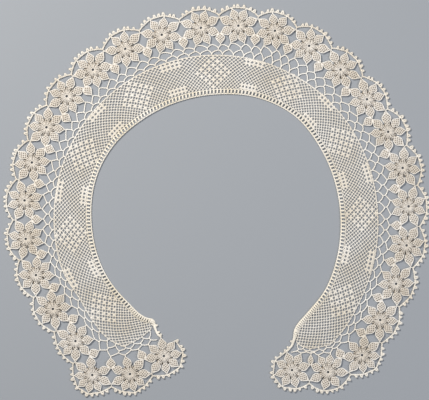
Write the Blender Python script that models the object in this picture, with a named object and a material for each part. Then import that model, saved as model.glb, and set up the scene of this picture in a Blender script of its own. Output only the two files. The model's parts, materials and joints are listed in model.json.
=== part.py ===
"""A crocheted lace collar, laid flat with its two front ends apart.

Metres, +Z up. The underside is on Z = 0, +Y points to the centre back, and the neck opens towards -Y.
Tables are in degrees and millimetres. Angles are measured round the middle of the neck, clockwise as
seen from above, from the centre back. Every path runs clockwise too, so its left side is the outer side.
"""
import math

import bmesh
import bpy
import numpy as np
from mathutils import Vector
from mathutils.geometry import delaunay_2d_cdt

MM = 0.001
SEAM_GAP = 0.3
NECK_MIDDLE = (-0.513, -15.343)

# Thickness of each piece, and how far the middle of a petal, a leaf or a flower stands above its rim.
NET_THICKNESS = 1.0
ARCH_THICKNESS = 1.2
EDGING_THICKNESS = 1.6
PICOT_THICKNESS = 1.4
MOTIF_THICKNESS = 1.3
PETAL_CROWN = 0.6
LEAF_CROWN = 0.5
FLOWER_HEART_CROWN = 0.8

# The neck edge, from the left front to the right front. The first and last rows are the two fronts,
# which run on to the first and the last flower.
# Columns: angle, radius, width of the edging.
NECK = (
    (-153.5, 106.5, 1.7),
    (-152.0, 104.3, 1.9),
    (-150.7, 101.8, 2.4),
    (-149.1, 98.6, 3.2),
    (-147.8, 98.1, 3.6),
    (-145.5, 99.6, 3.6),
    (-133.0, 100.4, 3.6),
    (-120.0, 101.9, 3.6),
    (-90.0, 103.3, 3.6),
    (-70.0, 105.0, 3.6),
    (-54.0, 104.5, 3.6),
    (-37.0, 102.6, 3.6),
    (0.0, 103.3, 3.6),
    (20.0, 106.4, 3.6),
    (38.0, 107.4, 3.6),
    (56.0, 104.6, 3.6),
    (89.0, 103.3, 3.6),
    (107.0, 105.2, 3.6),
    (123.0, 107.9, 3.6),
    (137.0, 108.7, 3.6),
    (142.0, 110.1, 3.6),
    (145.0, 112.8, 3.4),
    (147.1, 117.6, 2.4),
    (149.2, 121.7, 1.8),
)

# The rim of the net: its left end, its long outer edge and its right end.
# Columns: angle, radius.
NET_LEFT_END = (
    (-149.6, 105.5),
    (-149.1, 108.3),
    (-147.8, 116.8),
    (-146.0, 123.2),
    (-144.3, 130.8),
)
NET_OUTER = (
    (-144.3, 130.8),
    (-139.0, 133.6),
    (-129.0, 132.6),
    (-121.0, 131.1),
    (-110.0, 134.0),
    (-90.0, 134.5),
    (-45.0, 135.6),
    (0.0, 136.1),
    (45.0, 135.6),
    (90.0, 134.5),
    (108.0, 136.1),
    (121.0, 137.8),
    (131.0, 140.2),
    (137.9, 141.0),
)
NET_RIGHT_END = (
    (137.9, 141.0),
    (140.9, 136.9),
    (144.1, 133.1),
    (146.2, 127.0),
    (146.9, 121.6),
)
NET_STEP = 5.0
NECK_STEP = 5.0

# Where the thicker edging steps down to the net: width of the slope, and how far it stays off the fronts.
EDGING_STEP = 0.6
STEP_MARGIN = 3.0
FRONT_GAP = 0.7

# The row of flowers. The flowers between these stations follow a smooth curve.
# Columns: flower, angle, radius, petals between its two inner joints.
FLOWER_ROW = (
    (1, -159.2, 121.6, 2),
    (2, -151.0, 147.1, 1),
    (3, -141.6, 165.2, 0),
    (4, -131.0, 154.4, 2),
    (5, -118.9, 154.5, 2),
    (7, -96.0, 158.6, 2),
    (10, -61.6, 159.8, 2),
    (12, -39.5, 160.4, 2),
    (14, -16.4, 159.2, 2),
    (15, -4.5, 159.0, 2),
    (17, 17.4, 163.5, 2),
    (18, 28.3, 163.0, 2),
    (20, 51.6, 159.8, 2),
    (22, 74.7, 160.5, 2),
    (24, 97.9, 159.6, 2),
    (26, 121.6, 159.9, 2),
    (27, 133.0, 165.6, 1),
    (28, 143.8, 157.4, 2),
    (29, 153.3, 140.3, 2),
)
FLOWERS = 29
PETALS = 8
JOINT_PETALS = 4
INNER_PETALS = 2

# A joint between two flowers, measured out and in from the line between their centres, and the leaf
# that hangs between them.
OUTER_JOINT = 8.0
INNER_JOINT = 5.4
LEAF_TIP_DEPTH = 14.3
LEAF_BASE_OFFSET = 0.3

# A petal: its reach on the arch side and on the edge side, the crotch between two petals, and two
# pairs of points on its sides. Its lower pair leaves room for the next petal.
PETAL_REACH = 15.4
EDGE_PETAL_REACH = 15.0
CROTCH_RADIUS = 9.8
SIDE_RADIUS = 11.4
SIDE_HALF_WIDTH = 3.65
SIDE_SHARE = 0.85
SHOULDER_RADIUS = 13.9
SHOULDER_HALF_WIDTH = 2.2
PETAL_CROWN_RADIUS = 11.0

# A leaf: half its width at fractions of its length.
LEAF_PROFILE = ((0.22, 2.5), (0.50, 3.6), (0.78, 2.3))

# Chain arches: width of the chain, how far up the lower arches reach, and how round the upper ones are.
CHAIN_WIDTH = 1.1
LOWER_ARCH_SHARE = 0.55
ARCH_BULGE = 0.55
FOOT_CLEARANCE = 1.3
LEAST_ARCH_RISE = 5.5
TAIL_RISE = 0.9

# Picot edging: its chain, and the radii round a flower's centre that the chain runs through.
EDGE_CHAIN_WIDTH = 1.2
EDGE_DIP = 1.7
EDGE_DIP_RISE = 0.9
EDGE_SHOULDER_RADIUS = 17.7
EDGE_CREST_RADIUS = 15.7
PICOT_PITCH = 3.8
PICOT_HEIGHT = 1.6
PICOT_TIP_HALF_WIDTH = 0.85
EDGE_DIP_CLEARANCE = 2.6
EDGE_STEPS = 60
RIGHT_EDGE_END_TURN = 8.0

# Corners of an offset line, the shortest step kept at its ends, and the grid that points are put on.
LEAST_CORNER = 0.5
LEAST_STEP = 0.5
GRID_DIGITS = 4
TOUCHING = 1e-6

# Columns: colour, roughness.
MATERIALS = {
    "net_cotton": ((0.84, 0.78, 0.66), 0.85),
    "arch_cotton": ((0.86, 0.80, 0.68), 0.80),
    "motif_cotton": ((0.70, 0.63, 0.52), 0.90),
    "picot_cotton": ((0.82, 0.75, 0.62), 0.85),
}


def clear_scene():
    for item in list(bpy.data.objects):
        bpy.data.objects.remove(item, do_unlink=True)


def make_material(name):
    colour, roughness = MATERIALS[name]
    material = bpy.data.materials.new(name)
    material.use_nodes = True
    shader = material.node_tree.nodes["Principled BSDF"]
    shader.inputs["Base Color"].default_value = (*colour, 1.0)
    shader.inputs["Roughness"].default_value = roughness
    shader.inputs["Metallic"].default_value = 0.0
    return material


def unit(vector):
    return vector / np.linalg.norm(vector)


def left_of(vector):
    """The outer side of a direction of travel."""
    return np.array((-vector[1], vector[0]))


def polar(angle, radius):
    turn = math.radians(angle)
    return np.array((NECK_MIDDLE[0] + radius * math.sin(turn), NECK_MIDDLE[1] + radius * math.cos(turn)))


def heading(vector):
    """Angle of a vector in degrees, anticlockwise from +X."""
    return math.degrees(math.atan2(vector[1], vector[0]))


def around(centre, angle, radius):
    turn = math.radians(angle)
    return centre + radius * np.array((math.cos(turn), math.sin(turn)))


def smooth(knots, values, at):
    """Cubic curve through the values at the knots, read at one place or at many."""
    knots = np.asarray(knots, float)
    values = np.asarray(values, float)
    slopes = np.gradient(values, knots)
    at = np.clip(at, knots[0], knots[-1])
    left = np.clip(np.searchsorted(knots, at, side="right") - 1, 0, len(knots) - 2)
    span = knots[left + 1] - knots[left]
    t = (at - knots[left]) / span
    start = (2 * t ** 3 - 3 * t ** 2 + 1) * values[left] + (t ** 3 - 2 * t ** 2 + t) * span * slopes[left]
    end = (3 * t ** 2 - 2 * t ** 3) * values[left + 1] + (t ** 3 - t ** 2) * span * slopes[left + 1]
    return start + end


def offset_path(path, distance):
    """The path moved to its left by a distance, or by one distance for each point."""
    path = np.asarray(path)
    distance = np.broadcast_to(distance, len(path))
    moved = []
    for index, point in enumerate(path):
        before = unit(point - path[index - 1]) if index else None
        after = unit(path[index + 1] - point) if index < len(path) - 1 else None
        before = after if before is None else before
        after = before if after is None else after
        normal = unit(left_of(before) + left_of(after))
        stretch = max(float(np.dot(normal, left_of(before))), LEAST_CORNER)
        moved.append(point + normal * distance[index] / stretch)
    return np.array(moved)


def inset_loop(loop, distance):
    """A clockwise loop shrunk by a distance on every side."""
    loop = np.asarray(loop)
    count = len(loop)
    inner = []
    for index, point in enumerate(loop):
        before = unit(point - loop[index - 1])
        after = unit(loop[(index + 1) % count] - point)
        normal = unit(left_of(before) + left_of(after))
        stretch = max(float(np.dot(normal, left_of(before))), LEAST_CORNER)
        inner.append(point - normal * distance / stretch)
    return np.array(inner)


def lengths_along(path):
    """Distance from the path's start to each of its points."""
    steps = np.linalg.norm(np.diff(np.asarray(path), axis=0), axis=1)
    return np.concatenate(([0.0], np.cumsum(steps)))


def place_along(path, distance):
    """The point at a distance along the path, and the direction of travel there."""
    path = np.asarray(path)
    lengths = lengths_along(path)
    distance = float(np.clip(distance, 0.0, lengths[-1]))
    index = min(int(np.searchsorted(lengths, distance, side="right")) - 1, len(path) - 2)
    along = unit(path[index + 1] - path[index])
    return path[index] + (distance - lengths[index]) * along, along


def nearest_along(path, point):
    """How far along the path its nearest place to a point is."""
    lengths = lengths_along(path)
    best = None
    for index in range(len(path) - 1):
        step = path[index + 1] - path[index]
        share = float(np.clip(np.dot(point - path[index], step) / np.dot(step, step), 0.0, 1.0))
        away = float(np.linalg.norm(point - path[index] - share * step))
        if best is None or away < best[0]:
            best = (away, lengths[index] + share * (lengths[index + 1] - lengths[index]))
    return best[1]


def stretch_of(path, first, last):
    """The part of the path between two distances along it."""
    lengths = lengths_along(path)
    low = first + LEAST_STEP
    high = last - LEAST_STEP
    middle = [point for point, length in zip(path, lengths) if low < length < high]
    return np.array([place_along(path, first)[0], *middle, place_along(path, last)[0]])


def inside(loop, x, y):
    hit = False
    x1, y1 = loop[-1]
    for x2, y2 in loop:
        if (y1 > y) != (y2 > y) and x < (x2 - x1) * (y - y1) / (y2 - y1) + x1:
            hit = not hit
        x1, y1 = x2, y2
    return hit


def on_grid(point):
    return round(float(point[0]), GRID_DIGITS), round(float(point[1]), GRID_DIGITS)


def flat_triangles(outline, holes, ridges):
    """Triangles that fill the outline but not the holes, with an edge along each ridge."""
    points = []
    edges = []
    for line in (outline, *holes, *ridges):
        first = len(points)
        points.extend(Vector(place) for place in line)
        edges.extend((first + i, first + i + 1) for i in range(len(line) - 1))
        if line not in ridges:
            edges.append((len(points) - 1, first))
    places, _, faces, _, _, _ = delaunay_2d_cdt(points, edges, [], 0, TOUCHING)
    places = [on_grid(place) for place in places]
    kept = []
    for face in faces:
        x = sum(places[i][0] for i in face) / 3
        y = sum(places[i][1] for i in face) / 3
        if inside(outline, x, y) and not any(inside(hole, x, y) for hole in holes):
            kept.append([places[i] for i in face])
    return kept


def add_slab(name, outline, thickness, material, holes=(), ridges=()):
    """A closed slab on Z = 0, flat below. A point's third number is its rise above the flat top."""
    rises = {}

    def flatten(line):
        places = []
        for point in line:
            place = on_grid(point)
            rises[place] = float(point[2]) if len(point) > 2 else 0.0
            places.append(place)
        return places

    outline = flatten(outline)
    holes = [flatten(hole) for hole in holes]
    ridges = [flatten(ridge) for ridge in ridges]
    sheet = bmesh.new()
    rise = sheet.verts.layers.float.new("rise")
    corners = {}
    for triangle in flat_triangles(outline, holes, ridges):
        for place in triangle:
            if place not in corners:
                corners[place] = sheet.verts.new((place[0] * MM, place[1] * MM, 0.0))
                corners[place][rise] = rises[place]
        sheet.faces.new([corners[place] for place in triangle])
    extruded = bmesh.ops.extrude_face_region(sheet, geom=sheet.faces[:])
    for item in extruded["geom"]:
        if isinstance(item, bmesh.types.BMVert):
            item.co.z = (thickness + item[rise]) * MM
    bmesh.ops.recalc_face_normals(sheet, faces=sheet.faces[:])
    sheet.verts.layers.float.remove(rise)
    mesh = bpy.data.meshes.new(name)
    sheet.to_mesh(mesh)
    sheet.free()
    mesh.materials.append(material)
    piece = bpy.data.objects.new(name, mesh)
    bpy.context.scene.collection.objects.link(piece)
    return piece


def path_from(table):
    angles = [row[0] for row in table]
    radii = [row[1] for row in table]
    return np.array([polar(angle, radius) for angle, radius in zip(angles, radii)])


def net_rim():
    """The net's left end, outer edge and right end as one path."""
    angles = [row[0] for row in NET_OUTER]
    radii = [row[1] for row in NET_OUTER]
    count = round((angles[-1] - angles[0]) / NET_STEP)
    fine = np.linspace(angles[0], angles[-1], count + 1)
    outer = [polar(angle, smooth(angles, radii, angle)) for angle in fine]
    return np.array([*path_from(NET_LEFT_END)[:-1], *outer, *path_from(NET_RIGHT_END)[1:]])


def flower_centres():
    numbers = [row[0] for row in FLOWER_ROW]
    angles = [row[1] for row in FLOWER_ROW]
    radii = [row[2] for row in FLOWER_ROW]
    return [polar(smooth(numbers, angles, k), smooth(numbers, radii, k)) for k in range(1, FLOWERS + 1)]


def flower_joints(centres):
    """For each two neighbours: the ways along and out, their outer and inner joints, and the leaf's tip."""
    joints = []
    for here, there in zip(centres[:-1], centres[1:]):
        middle = (here + there) / 2
        along = unit(there - here)
        out = left_of(along)
        joints.append({
            "along": along,
            "out": out,
            "outer": middle + OUTER_JOINT * out,
            "inner": middle - INNER_JOINT * out,
            "leaf_tip": middle - LEAF_TIP_DEPTH * out,
        })
    return joints


def spread(first, last, count):
    """Headings spaced evenly between two, going clockwise, without the two."""
    span = (first - last) % 360.0
    return [first - span * (i + 1) / (count + 1) for i in range(count)]


def petal_layout(number, centres, joints):
    """The petals of one flower, clockwise, as (heading, reach, kind).

    Petals at a joint point at it. The others share the angles that are left. Clockwise from the joint
    with the flower before come its outer petals, the joint with the next flower, and its inner petals.
    """
    centre = centres[number - 1]
    table = {row[0]: row[3] for row in FLOWER_ROW}
    inner_count = table.get(number, INNER_PETALS)
    side = SEAM_GAP / 2
    reaches = {"arch": PETAL_REACH, "neck": PETAL_REACH, "edge": EDGE_PETAL_REACH}

    def to_joint(point):
        return heading(point - centre), float(np.linalg.norm(point - centre))

    before = joints[number - 2] if number > 1 else None
    after = joints[number - 1] if number < FLOWERS else None
    petals = []
    if before:
        outer_before = to_joint(before["outer"] + side * before["along"])
        inner_before = to_joint(before["inner"] + side * before["along"])
    if after:
        outer_after = to_joint(after["outer"] - side * after["along"])
        inner_after = to_joint(after["inner"] - side * after["along"])
    if before and after:
        petals.append((*inner_before, "joint"))
        petals.append((*outer_before, "joint"))
        outer_count = PETALS - JOINT_PETALS - inner_count
        free = spread(outer_before[0], outer_after[0], outer_count)
        petals += [(angle, EDGE_PETAL_REACH, "edge") for angle in free]
        petals.append((*outer_after, "joint"))
        petals.append((*inner_after, "joint"))
        free = spread(inner_after[0], inner_before[0], inner_count)
        petals += [(angle, PETAL_REACH, "arch") for angle in free]
    elif after:
        free = spread(inner_after[0], outer_after[0], PETALS - 2)
        kinds = ["arch", "neck"] + ["edge"] * (len(free) - 2)
        petals.append((*outer_after, "joint"))
        petals.append((*inner_after, "joint"))
        petals += [(angle, reaches[kind], kind) for angle, kind in zip(free, kinds)]
    else:
        free = spread(outer_before[0], inner_before[0], PETALS - 2)
        kinds = ["edge"] * (len(free) - 2) + ["neck", "arch"]
        petals.append((*inner_before, "joint"))
        petals.append((*outer_before, "joint"))
        petals += [(angle, reaches[kind], kind) for angle, kind in zip(free, kinds)]
    return petals


def flower_outline(centre, petals):
    """Outline of one flower, from its petals in clockwise order, and the tops of its petals and heart."""
    outline = []
    crowns = [[(*centre, FLOWER_HEART_CROWN)]]
    side_angle = math.degrees(math.asin(SIDE_HALF_WIDTH / SIDE_RADIUS))
    shoulder_angle = math.degrees(math.asin(SHOULDER_HALF_WIDTH / SHOULDER_RADIUS))
    for index, (angle, reach, _) in enumerate(petals):
        half_before = ((petals[index - 1][0] - angle) % 360.0) / 2
        half_after = ((angle - petals[(index + 1) % len(petals)][0]) % 360.0) / 2
        side_before = min(side_angle, SIDE_SHARE * half_before)
        side_after = min(side_angle, SIDE_SHARE * half_after)
        outline.append(around(centre, angle + half_before, CROTCH_RADIUS))
        outline.append(around(centre, angle + side_before, SIDE_RADIUS))
        outline.append(around(centre, angle + shoulder_angle, SHOULDER_RADIUS))
        outline.append(around(centre, angle, reach))
        outline.append(around(centre, angle - shoulder_angle, SHOULDER_RADIUS))
        outline.append(around(centre, angle - side_after, SIDE_RADIUS))
        crowns.append([(*around(centre, angle, PETAL_CROWN_RADIUS), PETAL_CROWN)])
    return outline, crowns


def leaf_outline(joint):
    base = joint["inner"] - LEAF_BASE_OFFSET * joint["out"]
    tip = joint["leaf_tip"]
    left = [base + share * (tip - base) - half * joint["along"] for share, half in LEAF_PROFILE]
    right = [base + share * (tip - base) + half * joint["along"] for share, half in LEAF_PROFILE]
    outline = [base, *right, tip, *reversed(left)]
    return outline, [[(*((base + tip) / 2), LEAF_CROWN)]]


def arch_peaks(centres, joints, layouts):
    """The points where chain arches hang from motifs, in order: (point, direction away from the motif)."""
    peaks = []
    clearance = SEAM_GAP + CHAIN_WIDTH / 2
    for number in range(1, FLOWERS + 1):
        centre = centres[number - 1]
        inner = [petal for petal in layouts[number - 1] if petal[2] == "arch"]
        for angle, reach, _ in reversed(inner):
            peaks.append(around(centre, angle, reach + clearance))
        if number < FLOWERS:
            joint = joints[number - 1]
            peaks.append(joint["leaf_tip"] - clearance * joint["out"])
    return peaks


def neck_petal(layout):
    return next(petal for petal in layout if petal[2] == "neck")


def arch_tail(layout, centre, side):
    """Where the arches end: beside the tip of the petal that the front edging meets."""
    clearance = SHOULDER_HALF_WIDTH + SEAM_GAP + CHAIN_WIDTH / 2
    shoulder = math.degrees(math.asin(clearance / SHOULDER_RADIUS))
    return around(centre, neck_petal(layout)[0] + side * shoulder, SHOULDER_RADIUS + TAIL_RISE)


def arch_outline(rim, centres, joints, layouts):
    """The two rows of chain arches as one outline and the holes in it.

    A lower arch stands on the net between two feet. The upper chain runs through the knots on top of
    the lower arches and rises between them to the motifs. The lower arches' own gaps stay filled.
    """
    half = CHAIN_WIDTH / 2
    peaks = arch_peaks(centres, joints, layouts)
    start = arch_tail(layouts[0], centres[0], 1)
    end = arch_tail(layouts[-1], centres[-1], -1)
    chain = [start, *peaks, end]
    feet = [nearest_along(rim, point) for point in chain]
    foot_points = [place_along(rim, foot)[0] for foot in feet]
    knots = []
    for index in range(len(chain) - 1):
        low = (foot_points[index] + foot_points[index + 1]) / 2
        high = (chain[index] + chain[index + 1]) / 2
        knots.append(low + LOWER_ARCH_SHARE * (high - low))

    def bulged(here, there):
        return (here + there) / 2 + ARCH_BULGE * left_of(unit(there - here))

    upper = [start]
    holes = []
    for index, peak in enumerate(peaks):
        before, after = knots[index], knots[index + 1]
        rise = bulged(before, peak)
        fall = bulged(peak, after)
        foot = foot_points[index + 1]
        upper += [before, rise, peak, fall]
        if np.linalg.norm(peak - foot) > LEAST_ARCH_RISE:
            foot = foot + (FOOT_CLEARANCE - half) * unit(peak - foot)
            holes.append(inset_loop([before, rise, peak, fall, after, foot], half))
    upper += [knots[-1], end]
    net_side = offset_path(stretch_of(rim, feet[0] - half, feet[-1] + half), SEAM_GAP)
    end_flank = offset_path([foot_points[-1], knots[-1], end], -half)
    start_flank = offset_path([foot_points[0], knots[0], start], half)
    outline = [*offset_path(upper, half), end_flank[2], end_flank[1], *reversed(net_side), *start_flank[1:]]
    return outline, holes


def neck_edges(centres, layouts):
    """The neck side and the net side of the edging, run on down both fronts to a petal's tip."""
    angles = [row[0] for row in NECK]
    radii = [row[1] for row in NECK]
    widths = [row[2] for row in NECK]
    path = []
    path_widths = []
    for index, angle in enumerate(angles):
        path.append(polar(angle, radii[index]))
        path_widths.append(widths[index])
        span = angles[index + 1] - angle if index < len(angles) - 1 else 0.0
        steps = round(span / NECK_STEP)
        for step in range(1, steps):
            between = angle + span * step / steps
            path.append(polar(between, smooth(angles, radii, between)))
            path_widths.append(widths[index])
    fronts = []
    for layout, centre in ((layouts[0], centres[0]), (layouts[-1], centres[-1])):
        petal = neck_petal(layout)
        fronts.append(around(centre, petal[0], petal[1] + FRONT_GAP))
    first = fronts[0] - path_widths[0] / 2 * left_of(unit(path[0] - fronts[0]))
    last = fronts[1] - path_widths[-1] / 2 * left_of(unit(fronts[1] - path[-1]))
    path = [first, *path, last]
    path_widths = [path_widths[0], *path_widths, path_widths[-1]]
    return np.array(path), offset_path(path, path_widths)


def net_band(rim, neck_side, edging_side):
    """Outline and ridges of the net with the thicker edging worked along its neck and down its fronts."""
    rise = EDGING_THICKNESS - NET_THICKNESS
    total = lengths_along(edging_side)[-1]
    first = nearest_along(edging_side, rim[0])
    last = nearest_along(edging_side, rim[-1])

    def raised(line):
        return [(*point, rise) for point in line]

    left_front = raised(stretch_of(edging_side, 0.0, first))
    right_front = raised(stretch_of(edging_side, last, total))
    outline = [*raised(neck_side), *reversed(right_front), *reversed(rim), *reversed(left_front)]
    step = raised(stretch_of(edging_side, first, last))
    foot = offset_path(stretch_of(edging_side, first + STEP_MARGIN, last - STEP_MARGIN), EDGING_STEP)
    return outline, [step, foot]


def edge_arc(number, centres, joints, layouts):
    """Headings and radii, clockwise, that the edge chain runs through round one flower."""
    centre = centres[number - 1]
    layout = layouts[number - 1]
    chain_off_tip = SEAM_GAP + EDGE_CHAIN_WIDTH / 2
    petals = [(angle, reach + chain_off_tip) for angle, reach, kind in layout if kind == "edge"]

    def dip(joint):
        point = joint["outer"] + (SEAM_GAP + EDGE_DIP) * joint["out"] - centre
        return heading(point), float(np.linalg.norm(point))

    if number == FLOWERS:
        neck = neck_petal(layout)
        petals.append((neck[0] + RIGHT_EDGE_END_TURN, neck[1] + chain_off_tip))
    stops = []
    if number > 1:
        stops.append((*dip(joints[number - 2]), "dip"))
    stops += [(angle, radius, "petal") for angle, radius in petals]
    if number < FLOWERS:
        stops.append((*dip(joints[number - 1]), "dip"))
    arc = [stops[0][:2]]
    for here, there in zip(stops[:-1], stops[1:]):
        span = (here[0] - there[0]) % 360.0
        radius = EDGE_CREST_RADIUS if here[2] == there[2] else EDGE_SHOULDER_RADIUS
        arc.append((arc[-1][0] - span / 2, radius))
        arc.append((arc[-1][0] - span / 2, there[1]))
    return arc


def picot_outline(centres, joints, layouts):
    """The edge chain: smooth towards the flowers, and a row of picots on its outer side."""
    half = EDGE_CHAIN_WIDTH / 2
    outer_side = []
    inner_side = []
    for number in range(1, FLOWERS + 1):
        centre = centres[number - 1]
        arc = edge_arc(number, centres, joints, layouts)
        turns = [-angle for angle, _ in arc]
        radii = [radius for _, radius in arc]
        fine = np.linspace(turns[0], turns[-1], EDGE_STEPS)
        chain = np.array([around(centre, -turn, smooth(turns, radii, turn)) for turn in fine])
        length = lengths_along(chain)[-1]
        start = EDGE_DIP_CLEARANCE if number > 1 else 0.0
        end = length - (EDGE_DIP_CLEARANCE if number < FLOWERS else 0.0)
        count = round((end - start) / PICOT_PITCH)
        pitch = (end - start) / count

        def beside(distance, away):
            point, along = place_along(chain, distance)
            return point + away * left_of(along)

        for picot in range(count):
            middle = start + (picot + 0.5) * pitch
            outer_side.append(beside(middle - pitch / 2, half))
            outer_side.append(beside(middle - PICOT_TIP_HALF_WIDTH, half + PICOT_HEIGHT))
            outer_side.append(beside(middle + PICOT_TIP_HALF_WIDTH, half + PICOT_HEIGHT))
        outer_side.append(beside(end, half))
        stops = list(zip(turns, radii))
        stops = stops if number == 1 else stops[1:]
        stops = stops if number == FLOWERS else stops[:-1]
        for turn, radius in stops:
            inner_side.append(beside(nearest_along(chain, around(centre, -turn, radius)), -half))
        if number < FLOWERS:
            joint = joints[number - 1]
            dip = joint["outer"] + (SEAM_GAP + EDGE_DIP) * joint["out"]
            outer_side.append(dip + EDGE_DIP_RISE * joint["out"])
            inner_side.append(joint["outer"] + SEAM_GAP * joint["out"])
    return [*outer_side, *reversed(inner_side)]


def main():
    clear_scene()
    materials = {name: make_material(name) for name in MATERIALS}
    centres = flower_centres()
    joints = flower_joints(centres)
    layouts = [petal_layout(number, centres, joints) for number in range(1, FLOWERS + 1)]
    rim = net_rim()
    outline, ridges = net_band(rim, *neck_edges(centres, layouts))
    add_slab("net_band", outline, NET_THICKNESS, materials["net_cotton"], ridges=ridges)
    outline, holes = arch_outline(rim, centres, joints, layouts)
    add_slab("chain_arches", outline, ARCH_THICKNESS, materials["arch_cotton"], holes=holes)
    outline = picot_outline(centres, joints, layouts)
    add_slab("picot_edging", outline, PICOT_THICKNESS, materials["picot_cotton"])
    for number, (centre, layout) in enumerate(zip(centres, layouts), start=1):
        outline, crowns = flower_outline(centre, layout)
        add_slab(f"flower_{number:02d}", outline, MOTIF_THICKNESS, materials["motif_cotton"], ridges=crowns)
    for number, joint in enumerate(joints, start=1):
        outline, crowns = leaf_outline(joint)
        add_slab(f"leaf_{number:02d}", outline, MOTIF_THICKNESS, materials["motif_cotton"], ridges=crowns)


main()
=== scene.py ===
# %% [markdown]
# # A crocheted lace collar in cream cotton
#
# The collar is real needlework: a filet net, chains, stitched flowers and picots. A plain solid of each
# part already exists and gives the sizes. This lesson replaces each plain solid by the threads that a
# maker would work, so almost every shape here is a round thread laid along a line.
#
# Lines are drafted in millimetres, as a maker would measure them, and turned to metres at the last moment.

# %% Tools and the plain collar
import json
import math

import bpy
import numpy as np
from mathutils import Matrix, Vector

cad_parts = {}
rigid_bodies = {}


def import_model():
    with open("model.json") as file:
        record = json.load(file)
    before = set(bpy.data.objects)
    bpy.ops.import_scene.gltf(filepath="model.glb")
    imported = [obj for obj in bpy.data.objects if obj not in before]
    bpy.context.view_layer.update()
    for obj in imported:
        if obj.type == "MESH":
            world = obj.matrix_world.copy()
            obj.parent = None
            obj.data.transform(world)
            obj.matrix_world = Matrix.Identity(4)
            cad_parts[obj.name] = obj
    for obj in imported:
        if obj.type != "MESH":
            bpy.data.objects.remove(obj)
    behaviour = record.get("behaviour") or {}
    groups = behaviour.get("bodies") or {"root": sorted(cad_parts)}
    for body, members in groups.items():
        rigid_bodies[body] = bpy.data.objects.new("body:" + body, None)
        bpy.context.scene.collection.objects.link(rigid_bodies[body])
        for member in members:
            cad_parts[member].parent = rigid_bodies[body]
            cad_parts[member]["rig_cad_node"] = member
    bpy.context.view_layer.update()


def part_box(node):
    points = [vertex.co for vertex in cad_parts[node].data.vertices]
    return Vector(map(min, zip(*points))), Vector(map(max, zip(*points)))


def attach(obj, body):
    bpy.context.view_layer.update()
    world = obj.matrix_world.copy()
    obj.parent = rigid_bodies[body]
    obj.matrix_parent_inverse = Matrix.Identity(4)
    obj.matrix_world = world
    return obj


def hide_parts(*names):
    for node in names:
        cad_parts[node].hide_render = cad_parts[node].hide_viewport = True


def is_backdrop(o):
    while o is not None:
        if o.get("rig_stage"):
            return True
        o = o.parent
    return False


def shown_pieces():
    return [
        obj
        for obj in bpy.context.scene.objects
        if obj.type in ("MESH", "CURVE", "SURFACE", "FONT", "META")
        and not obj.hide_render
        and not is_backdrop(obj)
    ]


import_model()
MM = 0.001
UP = np.array((0.0, 0.0, 1.0))

# %% [markdown]
# ## Drafting the pattern
#
# The collar lies open like a horseshoe, so the easiest way to draft it is with a pin at the middle of the
# neck: each point is an angle round the pin and a distance from it. Angle 0 is the centre back, and angles
# grow clockwise as seen from above. Every line also runs clockwise, so its left side is its outer side.
#
# The helpers below are a draughtsman's few moves: go to a place, draw a smooth curve through measured
# points, step along a line, and draw a second line beside it.

# %% Lines and angles
NECK_MIDDLE = np.array((-0.513, -15.343))


def unit(vector):
    return vector / np.linalg.norm(vector)


def left_of(vector):
    return np.array((-vector[1], vector[0]))


def polar(angle, radius):
    """Points at angles round the pin and distances from it."""
    turn = np.radians(angle)
    return NECK_MIDDLE + np.stack((radius * np.sin(turn), radius * np.cos(turn)), axis=-1)


def angle_of(point):
    """The angle round the pin at which a point lies."""
    across, up = point - NECK_MIDDLE
    return math.degrees(math.atan2(across, up))


def heading(vector):
    return math.degrees(math.atan2(vector[1], vector[0]))


def around(centre, way, distance):
    """The point at a heading and a distance from a centre of its own."""
    turn = math.radians(way)
    return centre + distance * np.array((math.cos(turn), math.sin(turn)))


def smooth(knots, values, at):
    """A cubic curve through the values at the knots."""
    slopes = np.gradient(values, knots)
    at = np.clip(at, knots[0], knots[-1])
    left = np.clip(np.searchsorted(knots, at, side="right") - 1, 0, len(knots) - 2)
    span = knots[left + 1] - knots[left]
    t = (at - knots[left]) / span
    start = (2 * t ** 3 - 3 * t ** 2 + 1) * values[left] + (t ** 3 - 2 * t ** 2 + t) * span * slopes[left]
    end = (3 * t ** 2 - 2 * t ** 3) * values[left + 1] + (t ** 3 - t ** 2) * span * slopes[left + 1]
    return start + end


print("100 mm from the pin at the centre back:", polar(0.0, 100.0).round(1))

# %% Steps along a line
# A line moved sideways runs off at a sharp corner, so there it is let out to twice the distance at most.
LEAST_MITRE = 0.5


def lengths_along(path):
    """How far along the line each of its points is."""
    return np.concatenate(([0.0], np.cumsum(np.linalg.norm(np.diff(path, axis=0), axis=1))))


def evenly(path, step):
    """The same line with a point about every step."""
    lengths = lengths_along(path)
    count = max(round(lengths[-1] / step), 1)
    at = np.linspace(0.0, lengths[-1], count + 1)
    return np.stack([np.interp(at, lengths, path[:, axis]) for axis in range(path.shape[1])], axis=-1)


def place_along(path, distance):
    """The point at a distance along a line, and the direction of travel there."""
    lengths = lengths_along(path)
    distance = float(np.clip(distance, 0.0, lengths[-1]))
    index = min(int(np.searchsorted(lengths, distance, side="right")) - 1, len(path) - 2)
    along = unit(path[index + 1] - path[index])
    return path[index] + (distance - lengths[index]) * along, along


def nearest_along(path, point):
    """How far along a line its nearest place to a point is."""
    lengths = lengths_along(path)
    steps = np.diff(path, axis=0)
    shares = np.clip(((point - path[:-1]) * steps).sum(1) / (steps ** 2).sum(1), 0.0, 1.0)
    away = np.linalg.norm(point - path[:-1] - shares[:, None] * steps, axis=1)
    best = int(away.argmin())
    return lengths[best] + shares[best] * (lengths[best + 1] - lengths[best])


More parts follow.
